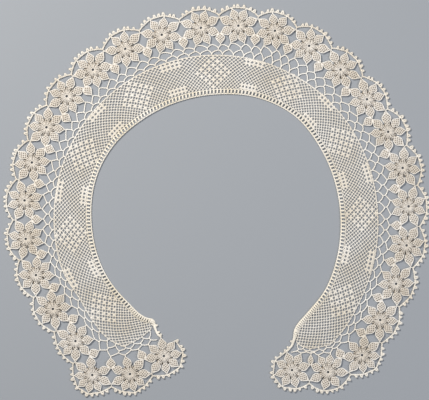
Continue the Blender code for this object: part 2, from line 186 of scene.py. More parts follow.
def beside(path, distance):
    """The line moved to its left by a distance, or by one distance for each point."""
    ways = np.diff(path, axis=0)
    ways /= np.linalg.norm(ways, axis=1, keepdims=True)
    ways = np.stack((-ways[:, 1], ways[:, 0]), axis=-1)
    before = np.concatenate((ways[:1], ways))
    after = np.concatenate((ways, ways[-1:]))
    normal = (before + after) / np.linalg.norm(before + after, axis=1, keepdims=True)
    stretch = np.maximum((normal * before).sum(1), LEAST_MITRE)
    return path + normal * (np.broadcast_to(distance, len(path)) / stretch)[:, None]


def at_height(path, height):
    """A flat line raised to a height, or to one height for each point."""
    return np.concatenate((path, np.broadcast_to(height, len(path))[:, None]), axis=1)


# %% [markdown]
# ## Finding the flowers
#
# The flowers were made one by one and then joined in a row, petal tip to petal tip. So the draft needs the
# middle of each flower, the two points where neighbours touch, and the way that each petal points. The
# petals that are left over share the room between the joints, as on the real collar.

# %% Middles of the flowers
# Not every flower is measured: the rest lie on the smooth line through these.
# Columns: flower, angle, radius, petals between its two inner joints.
FLOWER_ROW = np.array((
    (1, -159.2, 121.6, 2),
    (2, -151.0, 147.1, 1),
    (3, -141.6, 165.2, 0),
    (4, -131.0, 154.4, 2),
    (5, -118.9, 154.5, 2),
    (7, -96.0, 158.6, 2),
    (10, -61.6, 159.8, 2),
    (12, -39.5, 160.4, 2),
    (14, -16.4, 159.2, 2),
    (15, -4.5, 159.0, 2),
    (17, 17.4, 163.5, 2),
    (18, 28.3, 163.0, 2),
    (20, 51.6, 159.8, 2),
    (22, 74.7, 160.5, 2),
    (24, 97.9, 159.6, 2),
    (26, 121.6, 159.9, 2),
    (27, 133.0, 165.6, 1),
    (28, 143.8, 157.4, 2),
    (29, 153.3, 140.3, 2),
))
FLOWERS = 29
# Petals between the inner joints of a flower that the table leaves out.
INNER_PETALS = 2
inner_counts = {int(row[0]): int(row[3]) for row in FLOWER_ROW}
numbers = np.arange(1, FLOWERS + 1)
centres = polar(*(smooth(FLOWER_ROW[:, 0], FLOWER_ROW[:, column], numbers) for column in (1, 2)))
for number in (1, FLOWERS // 2 + 1, FLOWERS):
    low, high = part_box(f"flower_{number:02d}")
    print(f"flower {number}: drafted middle {centres[number - 1].round(1)} mm, solid from",
          [round(value / MM, 1) for value in low[:2]], "to", [round(value / MM, 1) for value in high[:2]])

# %% Joints between the flowers
# From the point halfway between two flowers: outward to where they touch first, inward to where they
# touch again, and inward to the tip of the leaf that hangs between them.
OUTER_JOINT = 8.0
INNER_JOINT = 5.4
LEAF_TIP_DEPTH = 14.3
joints = []
for here, there in zip(centres[:-1], centres[1:]):
    along = unit(there - here)
    out = left_of(along)
    middle = (here + there) / 2
    joints.append({
        "along": along,
        "out": out,
        "outer": middle + OUTER_JOINT * out,
        "inner": middle - INNER_JOINT * out,
        "leaf_tip": middle - LEAF_TIP_DEPTH * out,
    })
print("joints:", len(joints))

# %% The way that each petal points
PETALS = 8
# A flower touches each neighbour with two petals.
PETALS_A_SIDE = 2
# The first and the last flower have one petal at the arches and one at the neck edging.
FRONT_PETALS = ["arch", "neck"]
# Free petals reach to the arches, to the neck edging or to the edge chain.
PETAL_REACHES = {"arch": 15.4, "neck": 15.4, "edge": 15.0}
# The hair's breadth between two pieces, which the joining stitches close.
SEAM_GAP = 0.3


def spread(first, last, count):
    """Headings spaced evenly between two, going clockwise, without the two."""
    span = (first - last) % 360.0
    return [first - span * (i + 1) / (count + 1) for i in range(count)]


def free_petals(after, before, kinds):
    """Petals that share the room between two others, as (heading, reach, kind)."""
    ways = spread(after[0], before[0], len(kinds))
    return [(way, PETAL_REACHES[kind], kind) for way, kind in zip(ways, kinds)]


def joined_petal(centre, joint, key, side):
    """The petal that meets a neighbour at a joint. Side is 1 after the joint and -1 before it."""
    way = joint[key] + side * SEAM_GAP / 2 * joint["along"] - centre
    return heading(way), float(np.linalg.norm(way)), "joint"


def petal_layout(number):
    """The petals of one flower, clockwise, as (heading, reach, kind)."""
    centre = centres[number - 1]
    came, goes = [], []
    if number > 1:
        came = [joined_petal(centre, joints[number - 2], key, 1) for key in ("inner", "outer")]
    if number < FLOWERS:
        goes = [joined_petal(centre, joints[number - 1], key, -1) for key in ("outer", "inner")]
    front_edges = ["edge"] * (PETALS - PETALS_A_SIDE - len(FRONT_PETALS))
    if not came:
        return goes + free_petals(goes[1], goes[0], FRONT_PETALS + front_edges)
    if not goes:
        return came + free_petals(came[1], came[0], front_edges + FRONT_PETALS[::-1])
    inner_count = inner_counts.get(number, INNER_PETALS)
    edges = free_petals(came[1], goes[0], ["edge"] * (PETALS - 2 * PETALS_A_SIDE - inner_count))
    return came + edges + goes + free_petals(goes[1], came[0], ["arch"] * inner_count)


def neck_petal(layout):
    return next(petal for petal in layout if petal[2] == "neck")


layouts = [petal_layout(number) for number in range(1, FLOWERS + 1)]
print("petals:", sum(len(layout) for layout in layouts))

# %% [markdown]
# ## Cotton, worked in several ways
#
# Everything is one material, cotton, spun and worked differently, and each way gives the eye something
# else. So there is one finish for each kind of thread, and three for the stitched flowers and leaves.
#
# Each finish starts from cotton's own numbers: it doesn't conduct (metallic 0), its index of refraction is
# 1.53, and it is rough, with a soft sheen from loose fibres.

# %% Colours and nodes
COTTON_IOR = 1.53
SHEEN_ROUGHNESS = 0.4


def linear(code):
    """A linear colour from a hex code as a paint chart gives it."""
    parts = [int(code[i:i + 2], 16) / 255 for i in (1, 3, 5)]
    return (*(c / 12.92 if c <= 0.04045 else ((c + 0.055) / 1.055) ** 2.4 for c in parts), 1.0)


def add_node(material, kind, inputs=None, **settings):
    """Adds a node, sets its fields, and fills or links its inputs."""
    node = material.node_tree.nodes.new(kind)
    for name, value in settings.items():
        setattr(node, name, value)
    for name, value in (inputs or {}).items():
        if isinstance(value, bpy.types.NodeSocket):
            material.node_tree.links.new(value, node.inputs[name])
        else:
            node.inputs[name].default_value = value
    return node


def new_cotton(name, roughness, sheen):
    """An empty cotton finish: its material and its shader."""
    material = bpy.data.materials.new(name)
    material.use_nodes = True
    shader = material.node_tree.nodes["Principled BSDF"]
    shader.inputs["Metallic"].default_value = 0.0
    shader.inputs["IOR"].default_value = COTTON_IOR
    shader.inputs["Roughness"].default_value = roughness
    shader.inputs["Sheen Weight"].default_value = sheen
    shader.inputs["Sheen Roughness"].default_value = SHEEN_ROUGHNESS
    return material, shader


print("half grey, #808080, in linear light:", round(linear("#808080")[0], 3))

# %% [markdown]
# ### Thread
#
# A thread is two or three plies twisted together. On a thread of 0.6 mm the twist repeats about every
# millimetre. That is too fine to see when the whole collar is in view, so the twist is drawn with a noise
# of that size, which roughens the light along the thread and darkens its hollows with painted shade. Age
# shows at a larger size, as patches of 30 mm or so that have turned yellower.

# %% A thread finish
PER_METRE = 1.0 / MM
TWIST_SIZE = 1.1
PATCH_SIZE = 32.0
TWIST_NOISE = {"Scale": PER_METRE / TWIST_SIZE, "Detail": 2.0, "Roughness": 0.7}
PATCH_NOISE = {"Scale": PER_METRE / PATCH_SIZE, "Detail": 3.0, "Roughness": 0.6}
# A noise seldom leaves the middle of its range, so only that part of it is used.
AGE_BAND = {"From Min": 0.38, "From Max": 0.68}
# Painted shade: the colour in the hollows of the twist is a seventh darker than at its crests.
TWIST_SHADE_BAND = {"From Min": 0.3, "From Max": 0.6, "To Min": 0.86, "To Max": 1.0}
TWIST_STRENGTH = 0.6


def thread_finish(name, clean, aged, roughness, sheen, twist_depth):
    """Cotton thread, from its clean colour to its aged one, with a twist as deep as given in mm."""
    material, shader = new_cotton(name, roughness, sheen)
    places = add_node(material, "ShaderNodeTexCoord").outputs["Object"]
    patches = add_node(material, "ShaderNodeTexNoise", {"Vector": places, **PATCH_NOISE})
    share = add_node(material, "ShaderNodeMapRange", {"Value": patches.outputs["Fac"], **AGE_BAND})
    twist = add_node(material, "ShaderNodeTexNoise", {"Vector": places, **TWIST_NOISE})
    age = add_node(material, "ShaderNodeMix", {
        "Factor": share.outputs["Result"], "A": linear(clean), "B": linear(aged)}, data_type="RGBA")
    # Painted shade in the hollows of the twist, multiplied into the colour.
    twist_shade = add_node(material, "ShaderNodeMapRange", {"Value": twist.outputs["Fac"], **TWIST_SHADE_BAND})
    shade = add_node(material, "ShaderNodeMix", {
        "Factor": 1.0, "A": age.outputs["Result"], "B": twist_shade.outputs["Result"]},
        data_type="RGBA", blend_type="MULTIPLY")
    bump = add_node(material, "ShaderNodeBump", {
        "Height": twist.outputs["Fac"], "Strength": TWIST_STRENGTH, "Distance": twist_depth * MM})
    links = material.node_tree.links
    links.new(shade.outputs["Result"], shader.inputs["Base Color"])
    links.new(bump.outputs["Normal"], shader.inputs["Normal"])
    return material


# %% The thread finishes
# Fine cotton, hard spun: thin and a little dull, and greyer than the chains.
net_thread = thread_finish(
    "fine_cotton_net_thread", clean="#f0ebe2", aged="#e5dbc9", roughness=0.72, sheen=0.25, twist_depth=0.10)
# Mercerised cotton is treated to lie smooth, so it is pale and catches the light best.
chain_thread = thread_finish(
    "mercerised_cotton_chain", clean="#f8f4ec", aged="#f1e8d9", roughness=0.55, sheen=0.35, twist_depth=0.12)
# Worn at the neck, the edging has yellowed most and lost its shine.
edging_thread = thread_finish(
    "worn_cotton_edging", clean="#f8f2e7", aged="#eee3cc", roughness=0.68, sheen=0.25, twist_depth=0.12)
# Small loops that stand out gather dust, which makes them matt and a little grey.
picot_thread = thread_finish(
    "dusty_cotton_picots", clean="#eee8dd", aged="#e1d6c4", roughness=0.75, sheen=0.25, twist_depth=0.12)
# A cord padded with several threads is full and pale, with a soft light along it.
rim_thread = thread_finish(
    "padded_cotton_cord", clean="#f9f4ec", aged="#efe6d7", roughness=0.68, sheen=0.30, twist_depth=0.12)
THREADS = (net_thread, chain_thread, edging_thread, picot_thread, rim_thread)
print("thread finishes:", *(material.name for material in THREADS))

# %% [markdown]
# ### Needle-stitched petals
#
# A petal is filled with close stitches of the same cotton, worked on the slant both ways. They are laid
# below as real threads, so this finish only has to say how a stitched thread looks: matt, and a little greyer
# than the chains, partly from dust and partly as painted shade. Under the stitches lies a thin ground,
# which stands for the lower half of the same stitches and is seen only through the pinholes. Its dark colour
# is painted shade. The heart of a flower is thicker, so its pinholes are deeper and its ground is painted in
# a darker shade.

# %% The petal finishes
# Loose needle stitches: matt, and greyer than the cord round them, partly from dust and partly as painted
# shade.
petal_stitch = thread_finish(
    "needle_stitched_cotton", clean="#e6dfd5", aged="#dad0c1", roughness=0.85, sheen=0.2, twist_depth=0.10)
# The same cotton in the shade between two stitches, which is how a pinhole in a petal looks.
petal_shade_ground = thread_finish(
    "shaded_cotton_ground", clean="#aba295", aged="#9f9587", roughness=0.95, sheen=0.0, twist_depth=0.05)
# The same cotton in a deeper hole, where less light comes.
heart_shade_ground = thread_finish(
    "painted_deep_shade_ground", clean="#857b6e", aged="#7a7063", roughness=0.95, sheen=0.0, twist_depth=0.05)
# Each shape of a motif says by these numbers which finish of the list it takes.
STITCH, SHADE_GROUND, CORD, DEEP_SHADE = range(4)
LEAF_FINISHES = [petal_stitch, petal_shade_ground, rim_thread]
FLOWER_FINISHES = [*LEAF_FINISHES, heart_shade_ground]
print("finishes of a flower:", *(material.name for material in FLOWER_FINISHES))

# %% [markdown]
# ## Threads as meshes
#
# A round thread is a ring of points carried along a line. Working on whole arrays at once keeps this
# quick, even for thousands of threads. A shape is kept as a small record: its points, its faces and the
# finish it takes. Shapes are then joined into one mesh for each piece.

# %% Shapes and pieces
def shape(points, faces, finish=0):
    return {"points": np.asarray(points, float).reshape(-1, 3), "faces": faces, "finish": finish}


def add_piece(name, shapes, finishes, replaces=()):
    """Joins shapes into one smooth mesh in metres, which rides with the collar."""
    points = np.concatenate([part["points"] for part in shapes])
    corners, sizes, finish = [], [], []
    start = 0
    for part in shapes:
        for faces in part["faces"]:
            corners.append((faces + start).ravel())
            sizes.append(np.full(len(faces), faces.shape[1]))
            finish.append(np.full(len(faces), part["finish"]))
        start += len(part["points"])
    corners, sizes, finish = (np.concatenate(part).astype(np.int32) for part in (corners, sizes, finish))
    mesh = bpy.data.meshes.new(name)
    mesh.vertices.add(len(points))
    mesh.vertices.foreach_set("co", (points * MM).astype(np.float32).ravel())
    mesh.loops.add(len(corners))
    mesh.loops.foreach_set("vertex_index", corners)
    mesh.polygons.add(len(sizes))
    mesh.polygons.foreach_set("loop_start", (np.cumsum(sizes) - sizes).astype(np.int32))
    mesh.polygons.foreach_set("material_index", finish)
    mesh.polygons.foreach_set("use_smooth", np.ones(len(sizes), bool))
    mesh.update(calc_edges=True)
    for material in finishes:
        mesh.materials.append(material)
    piece = bpy.data.objects.new(name, mesh)
    bpy.context.scene.collection.objects.link(piece)
    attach(piece, "root")
    if replaces:
        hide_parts(*replaces)
    return piece


def triangles_in(piece):
    return sum(len(polygon.vertices) - 2 for polygon in piece.data.polygons)


# %% A round thread
# Sides of a thread: more where it stands out, fewer where it is thin or half hidden among many.
BOLD_SIDES = 8
THREAD_SIDES = 6
THIN_SIDES = 5
STITCH_SIDES = 4


def tube_faces(index, closed):
    """Four-cornered faces between neighbouring rings. The index has the threads, their steps and sides."""
    here, there = (index, np.roll(index, -1, axis=1)) if closed else (index[:, :-1], index[:, 1:])
    quads = np.stack((here, there, np.roll(there, -1, axis=2), np.roll(here, -1, axis=2)), axis=-1)
    return quads.reshape(-1, 4)


def thread(paths, radius, sides=THREAD_SIDES, closed=False, finish=0):
    """Round threads along one line, or along many lines with the same number of points."""
    paths = np.asarray(paths, float)
    paths = paths[None] if paths.ndim == 2 else paths
    count, steps = paths.shape[:2]
    if closed:
        along = np.roll(paths, -1, axis=1) - np.roll(paths, 1, axis=1)
    else:
        along = np.gradient(paths, axis=1)
    along /= np.linalg.norm(along, axis=2, keepdims=True)
    side = np.cross(along, UP)
    side /= np.linalg.norm(side, axis=2, keepdims=True)
    over = np.cross(side, along)
    turns = np.linspace(0.0, 2 * math.pi, sides, endpoint=False)[:, None]
    ring = np.cos(turns) * side[:, :, None, :] + np.sin(turns) * over[:, :, None, :]
    width = np.broadcast_to(radius, (count, steps))[..., None, None]
    points = paths[:, :, None, :] + width * ring
    index = np.arange(count * steps * sides).reshape(count, steps, sides)
    faces = [tube_faces(index, closed)]
    if not closed:
        faces += [index[:, 0], index[:, -1, ::-1]]
    return shape(points, faces, finish)


def bars(ends, height, radius):
    """Straight threads, each between two points."""
    return thread(np.array([at_height(np.linspace(start, end, 3), height) for start, end in ends]), radius)


print("points of a straight thread:", len(thread(((0, 0, 0), (1, 0, 0)), 0.3)["points"]))

# %% [markdown]
# ### A crochet chain
#
# Seen from above, a crochet chain is a plait: two strands swing apart and together once for each stitch,
# half a stitch out of step. Two threads that sway sideways and up and down give that plait cheaply.

# %% A crochet chain
def chain(path, height, radius, stitch, spread_out, sway, steps=4):
    """A chain of stitches along a flat line."""
    path = evenly(np.asarray(path, float), stitch / steps)
    phase = 2 * math.pi * np.arange(len(path)) / steps
    strands = []
    for side in (-1, 1):
        swing = phase + (math.pi if side > 0 else 0.0)
        line = beside(path, side * (spread_out + sway * np.cos(swing)))
        strands.append(thread(at_height(line, height + sway * np.sin(swing)), radius, THIN_SIDES))
    return strands


# %% [markdown]
# ## The net
#
# Filet net is knotted like a fishing net: two families of threads cross on the slant, and a knot holds
# each crossing. Its mesh is the same size all over, and the band was cut from it. So here the outline of
# the band is drawn first. The crossings are then laid out as a grid bent round the neck, a little wider
# than the band. Each thread runs through every crossing on its slant, over one thread and under the next,
# and is trimmed where it leaves the outline.

# %% Measures of the neck and the net
# Columns: angle, radius, width of the edging.
NECK = np.array((
    (-153.5, 106.5, 1.7),
    (-152.0, 104.3, 1.9),
    (-150.7, 101.8, 2.4),
    (-149.1, 98.6, 3.2),
    (-147.8, 98.1, 3.6),
    (-145.5, 99.6, 3.6),
    (-133.0, 100.4, 3.6),
    (-120.0, 101.9, 3.6),
    (-90.0, 103.3, 3.6),
    (-70.0, 105.0, 3.6),
    (-54.0, 104.5, 3.6),
    (-37.0, 102.6, 3.6),
    (0.0, 103.3, 3.6),
    (20.0, 106.4, 3.6),
    (38.0, 107.4, 3.6),
    (56.0, 104.6, 3.6),
    (89.0, 103.3, 3.6),
    (107.0, 105.2, 3.6),
    (123.0, 107.9, 3.6),
    (137.0, 108.7, 3.6),
    (142.0, 110.1, 3.6),
    (145.0, 112.8, 3.4),
    (147.1, 117.6, 2.4),
    (149.2, 121.7, 1.8),
))
# The angles of two of that table's rows, where the net starts and ends. Past them the edging runs alone.
NET_ANGLES = (NECK[3, 0], NECK[-3, 0])
# Columns: angle, radius.
NET_LEFT_END = ((-149.6, 105.5), (-149.1, 108.3), (-147.8, 116.8), (-146.0, 123.2), (-144.3, 130.8))
NET_OUTER = np.array((
    (-144.3, 130.8),
    (-139.0, 133.6),
    (-129.0, 132.6),
    (-121.0, 131.1),
    (-110.0, 134.0),
    (-90.0, 134.5),
    (-45.0, 135.6),
    (0.0, 136.1),
    (45.0, 135.6),
    (90.0, 134.5),
    (108.0, 136.1),
    (121.0, 137.8),
    (131.0, 140.2),
    (137.9, 141.0),
))
NET_RIGHT_END = ((137.9, 141.0), (140.9, 136.9), (144.1, 133.1), (146.2, 127.0), (146.9, 121.6))
print("measured places on the neck:", len(NECK), "and on the net's outer edge:", len(NET_OUTER))

# %% Outline of the net
# How far the finer chain reaches past the measured width. The net starts under it.
LADDER_REACH = 0.5
RIM_POINTS = 200
NECK_SIDE_POINTS = 240


def net_inner(angle):
    """How far from the pin the net starts, under the ladder's finer chain."""
    return smooth(NECK[:, 0], NECK[:, 1], angle) + np.interp(angle, NECK[:, 0], NECK[:, 2]) + LADDER_REACH


def net_outer(angle):
    return smooth(NET_OUTER[:, 0], NET_OUTER[:, 1], angle)


outer_angles = np.linspace(NET_OUTER[0, 0], NET_OUTER[-1, 0], RIM_POINTS)
left_end = np.array([polar(*row) for row in NET_LEFT_END])
right_end = np.array([polar(*row) for row in NET_RIGHT_END])
rim = np.concatenate((left_end[:-1], polar(outer_angles, net_outer(outer_angles)), right_end[1:]))
inner_angles = np.linspace(*NET_ANGLES, NECK_SIDE_POINTS)
net_outline = np.concatenate((polar(inner_angles, net_inner(inner_angles)), rim[::-1]))

# %% [markdown]
# ### The grid
#
# The grid is counted from the pattern that is darned on it, and its middle row follows the middle of the
# band. Column 0 and row 0 meet in the diamond near the centre back. The next diamond is 40 columns on, all
# the way round, but for a wider gap before the last one. The net is pulled a little more on one side than
# on the other, so the angle of each diamond was read off, to half a degree, and the columns between two
# diamonds share the way between them.

# %% Grid of the net
REPEAT = 40
LAST_REPEAT = 44
DIAMOND_ANGLES = (-128.5, -96.0, -64.0, -32.5, -1.0, 28.5, 58.5, 88.0, 123.0)
MIDDLE_DIAMOND = 4
NET_ROW_STEP = 1.50


def net_middle(angle):
    """How far from the pin the middle of the band is. Past the ends of the rim it stays as it is there."""
    angle = np.clip(angle, NET_OUTER[0, 0], NET_OUTER[-1, 0])
    return (net_inner(angle) + net_outer(angle)) / 2


diamond_columns = REPEAT * (np.arange(len(DIAMOND_ANGLES)) - MIDDLE_DIAMOND)
diamond_columns[-1] += LAST_REPEAT - REPEAT
# Past the first and the last diamond the grid goes on for as far again as the gap beside each.
grid_marks = np.array([diamond_columns[0] - REPEAT, *diamond_columns, diamond_columns[-1] + LAST_REPEAT])
grid_angles = np.array([
    2 * DIAMOND_ANGLES[0] - DIAMOND_ANGLES[1], *DIAMOND_ANGLES, 2 * DIAMOND_ANGLES[-1] - DIAMOND_ANGLES[-2]])


def net_point(column, row):
    """A place on the net, between crossings too."""
    angle = smooth(grid_marks, grid_angles, column)
    return polar(angle, net_middle(angle) + NET_ROW_STEP * row)


print("columns from", grid_marks[0], "to", grid_marks[-1], "middle diamond at", net_point(0, 0).round(1))

# %% Crossings of the net
# Rows of the grid on each side of its middle row. The outer ones lie past the band, and hold no crossing.
NET_ROW_REACH = 13
# How far a hand sets a crossing off its true place.
HAND_UNEVENNESS = 0.07
SEED = 29
rng = np.random.default_rng(SEED)


def inside(loop, points):
    """Which points lie inside a closed outline."""
    start, end = loop, np.roll(loop, -1, axis=0)
    x, y = points[..., 0, None], points[..., 1, None]
    spans = (start[:, 1] > y) != (end[:, 1] > y)
    rise = end[:, 1] - start[:, 1]
    # A level side spans nothing, so any number but nought will do for its rise.
    rise[rise == 0.0] = 1.0
    slope = (end[:, 0] - start[:, 0]) / rise
    return (spans & (x < slope * (y - start[:, 1]) + start[:, 0])).sum(-1) % 2 == 1


first_column = int(grid_marks[0])
column_count = int(grid_marks[-1]) - first_column + 1
row_count = 2 * NET_ROW_REACH + 1
grid_columns, grid_rows = np.meshgrid(
    first_column + np.arange(column_count), np.arange(row_count) - NET_ROW_REACH, indexing="ij")
crossings = net_point(grid_columns, grid_rows)
crossings += rng.normal(0.0, HAND_UNEVENNESS, crossings.shape)
# Threads on the slant cross at every second point of the grid. The others are the middles of the cells.
knotted = (grid_columns + grid_rows) % 2 == 1
on_net = inside(net_outline, crossings) & knotted
print("crossings in the net:", int(on_net.sum()))

# %% Threads of the net
NET_HEIGHT = 0.55
NET_WEAVE = 0.13
NET_THREAD_RADIUS = 0.30
# Each step of trimming halves the doubt about where the cut is.
TRIM_STEPS = 6


def slanted_threads(lean):
    """The stretches inside the band of all threads that lean one way, with one crossing more at each end."""
    runs = []
    for start in range(-row_count, column_count + row_count):
        line = [(start + lean * row, row) for row in range(row_count)]
        line = [(column, row) for column, row in line if 0 <= column < column_count and knotted[column, row]]
        kept = [place for place, (column, row) in enumerate(line) if on_net[column, row]]
        breaks = [place for place, (a, b) in enumerate(zip(kept[:-1], kept[1:]), 1) if b > a + 1]
        for first, last in zip([0, *breaks], [*breaks, len(kept)]):
            if last > first:
                runs.append(line[max(kept[first] - 1, 0):kept[last - 1] + 2])
    return runs


def trimmed(within, beyond):
    """Where a thread that runs from within the band to beyond it is cut."""
    for _ in range(TRIM_STEPS):
        middle = (within + beyond) / 2
        if inside(net_outline, middle):
            within = middle
        else:
            beyond = middle
    return (within + beyond) / 2


def lay_threads(lean):
    """All threads that lean one way, trimmed at the outline. Those with as many points are made at once."""
    by_length = {}
    for run in slanted_threads(lean):
        columns, rows = np.array(run).T
        flat = crossings[columns, rows]
        heights = NET_HEIGHT + lean * NET_WEAVE * (-1.0) ** rows
        for end, inner in ((0, 1), (-1, -2)):
            if len(run) > 2 and not on_net[columns[end], rows[end]]:
                flat[end] = trimmed(flat[inner], flat[end])
        by_length.setdefault(len(run), []).append(at_height(flat, heights))
    return [thread(np.array(lines), NET_THREAD_RADIUS) for lines in by_length.values()]


net_threads = add_piece(
    "net_threads", lay_threads(1) + lay_threads(-1), [net_thread], ["net_band"])
print("net threads, triangles:", triangles_in(net_threads))

# %% [markdown]
# ### Knots
#
# Each crossing is tied, and the knot stands a little proud, as a small ball. There are thousands, so each
# is a low, flattened twenty-sided ball, which smooth shading rounds off.

# %% Knots of the net
KNOT_SIZE = (0.72, 0.72, 0.54)
GOLDEN = (1 + 5 ** 0.5) / 2
BALL_POINTS = np.array([
    (-1, GOLDEN, 0), (1, GOLDEN, 0), (-1, -GOLDEN, 0), (1, -GOLDEN, 0),
    (0, -1, GOLDEN), (0, 1, GOLDEN), (0, -1, -GOLDEN), (0, 1, -GOLDEN),
    (GOLDEN, 0, -1), (GOLDEN, 0, 1), (-GOLDEN, 0, -1), (-GOLDEN, 0, 1),
]) / math.hypot(1, GOLDEN)
BALL_FACES = np.array([
    (0, 11, 5), (0, 5, 1), (0, 1, 7), (0, 7, 10), (0, 10, 11), (1, 5, 9), (5, 11, 4), (11, 10, 2),
    (10, 7, 6), (7, 1, 8), (3, 9, 4), (3, 4, 2), (3, 2, 6), (3, 6, 8), (3, 8, 9), (4, 9, 5),
    (2, 4, 11), (6, 2, 10), (8, 6, 7), (9, 8, 1),
])


def balls(middles, height, size):
    """Small balls at many places on the draft, all at one height."""
    points = at_height(np.array(middles), height)[:, None, :] + BALL_POINTS * np.asarray(size)
    starts = np.arange(len(middles))[:, None, None] * len(BALL_POINTS)
    return shape(points, [(BALL_FACES + starts).reshape(-1, 3)])


knots = balls(crossings[on_net], NET_HEIGHT, KNOT_SIZE)
net_knots = add_piece("net_knots", [knots], [net_thread])
print("knots:", int(on_net.sum()), "triangles:", triangles_in(net_knots))

# %% [markdown]
# ### The darned pattern
#
# The pattern is worked by filling cells of the net with a needle, over and under. Diamonds of five by five
# filled cells run along the middle of the band, with open cells between. The one at the centre back has its
# middle cell left open. Halfway between two diamonds a small cluster sits by each edge: two rows of five
# filled cells, which close in a row of four holes.

# %% Chart of the darned pattern
# Filled cells of one line lie every second column or row of the grid.
FIVE_CELLS = (-4, -2, 0, 2, 4)
HOLLOW_COLUMN = 0
CLUSTER_ROWS = (-7, 7)


def filled_cells():
    """Where the middle of each filled cell is in the grid. Its column and row add up to an even number."""
    filled = []
    for column in diamond_columns:
        for line in FIVE_CELLS:
            for cell in FIVE_CELLS:
                if column != HOLLOW_COLUMN or line or cell:
                    filled.append((column + line + cell, line - cell))
    for before, after in zip(diamond_columns[:-1], diamond_columns[1:]):
        halfway = 2 * round((before + after) / 4)
        for row in CLUSTER_ROWS:
            filled += [(halfway + step, row + side) for step in FIVE_CELLS for side in (-1, 1)]
    middles = net_point(*np.array(filled).T)
    return [(column - first_column, row + NET_ROW_REACH)
            for (column, row), on_band in zip(filled, inside(net_outline, middles)) if on_band]


# %% Darning
DARN_RADIUS = 0.35
# Two threads go each way, at these shares of a cell's side. Each thread has a point at both its ends and
# where it crosses the two of the other way.
DARN_SHARES = (0.31, 0.69)
DARN_STOPS = (0.02, *DARN_SHARES, 0.98)


def darn(cells):
    """Two threads each way across each cell, over and under each other."""
    west, north, east, south = (
        np.array([crossings[column + dc, row + dr] for column, row in cells])
        for dc, dr in ((-1, 0), (0, 1), (1, 0), (0, -1)))
    shapes = []
    # A thread starts on the cell's side from a to b, and ends as far along its side from c to d.
    for way, (a, b, c, d) in enumerate(((west, north, south, east), (west, south, north, east))):
        for place, share in enumerate(DARN_SHARES):
            near = a + share * (b - a)
            far = c + share * (d - c)
            lines = [near + stop * (far - near) for stop in DARN_STOPS]
            swing = NET_WEAVE * (1 if (way + place) % 2 else -1)
            heights = NET_HEIGHT + swing * np.array((0.0, 1.0, -1.0, 0.0))
            lines = [at_height(line, height) for line, height in zip(lines, heights)]
            shapes.append(thread(np.stack(lines, axis=1), DARN_RADIUS, THIN_SIDES))
    return shapes


cells = filled_cells()
net_darning = add_piece("net_darning", darn(cells), [net_thread])
print("filled cells:", len(cells), "triangles:", triangles_in(net_darning))

# %% [markdown]
# ### The rim of the net
#
# The net's outer edge is bound with one thread and a row of tiny loops, which keep the cut ends from
# fraying. The chains outside it are hooked into these loops.

# %% Rim thread and loops
RIM_STEP = 0.9
# The rim thread and the feet of its loops lie this far inside the outline.
RIM_INSET = 0.35
RIM_RADIUS = 0.28
LOOP_PITCH = 3.15
LOOP_RISE = 0.6
LOOP_RADIUS = 0.22
LOOP_POINTS = 6
rim_even = evenly(rim, RIM_STEP)
rim_cord = thread(at_height(beside(rim_even, -RIM_INSET), NET_HEIGHT), RIM_RADIUS)
rim_length = lengths_along(rim)[-1]
loop_count = round(rim_length / LOOP_PITCH)
rim_loops = []
for index in range(loop_count):
    points = []
    for share in np.linspace(0.0, 1.0, LOOP_POINTS):
        place, along = place_along(rim_even, (index + share) * rim_length / loop_count)
        points.append(place + (LOOP_RISE * math.sin(math.pi * share) - RIM_INSET) * left_of(along))
    rim_loops.append(at_height(np.array(points), NET_HEIGHT))
loops = thread(np.array(rim_loops), LOOP_RADIUS, THIN_SIDES)
net_rim = add_piece("net_rim", [rim_cord, loops], [net_thread])
print("rim loops:", loop_count, "triangles:", triangles_in(net_rim))

# %% [markdown]
# ## The neck edging
#
# The neck is finished with a firm chain, a row of tall double stitches like the rungs of a ladder, and a
# finer chain on the net. At both ends the two chains close up and run down the front to the last flower,
# with a few picots on the free side.

# %% Neck lines
NECK_STEP = 1.0
NECK_CHAIN_INSET = 0.50
# How far the finer chain lies from the neck. Columns: width of the edging, distance.
NET_CHAIN_PLACE = np.array(((1.7, 1.35), (2.4, 2.0), (3.2, 3.5), (3.6, 4.05)))
# How far from the petal's tip the edging ends.
FRONT_GAP = 0.7


def neck_lines():
    """The neck side of the edging, run on down both fronts to a petal's tip, and its width all along."""
    angles = np.union1d(np.arange(NECK[0, 0], NECK[-1, 0], NECK_STEP), NECK[:, 0])
    middle = polar(angles, smooth(NECK[:, 0], NECK[:, 1], angles))
    widths = np.interp(angles, NECK[:, 0], NECK[:, 2])
    ends = []
    for layout, centre in ((layouts[0], centres[0]), (layouts[-1], centres[-1])):
        way, reach, _ = neck_petal(layout)
        ends.append(around(centre, way, reach + FRONT_GAP))
    first = ends[0] - widths[0] / 2 * left_of(unit(middle[0] - ends[0]))
    last = ends[1] - widths[-1] / 2 * left_of(unit(ends[1] - middle[-1]))
    path = np.concatenate(([first], middle, [last]))
    return path, np.concatenate((widths[:1], widths, widths[-1:]))


neck_path, neck_widths = neck_lines()
even_neck = evenly(neck_path, NECK_STEP)
even_lengths = lengths_along(even_neck)
even_widths = np.interp(even_lengths, lengths_along(neck_path), neck_widths)
net_chain_places = np.interp(even_widths, NET_CHAIN_PLACE[:, 0], NET_CHAIN_PLACE[:, 1])
neck_length = even_lengths[-1]
print("neck edge with both fronts, mm:", round(float(neck_length), 1))

# %% Rungs of the ladder
EDGING_HEIGHT = 0.8
# A rung is two threads side by side, leans a little, and dips at the net.
RUNG_PITCH = 2.86
RUNG_SPREAD = 0.31
RUNG_RADIUS = 0.37
RUNG_LEAN = 0.45
RUNG_HEIGHTS = EDGING_HEIGHT + np.array((0.1, 0.18, 0.12, -0.1))
# Where the edging is narrower than this, it has no rungs.
RUNG_LEAST = 3.0
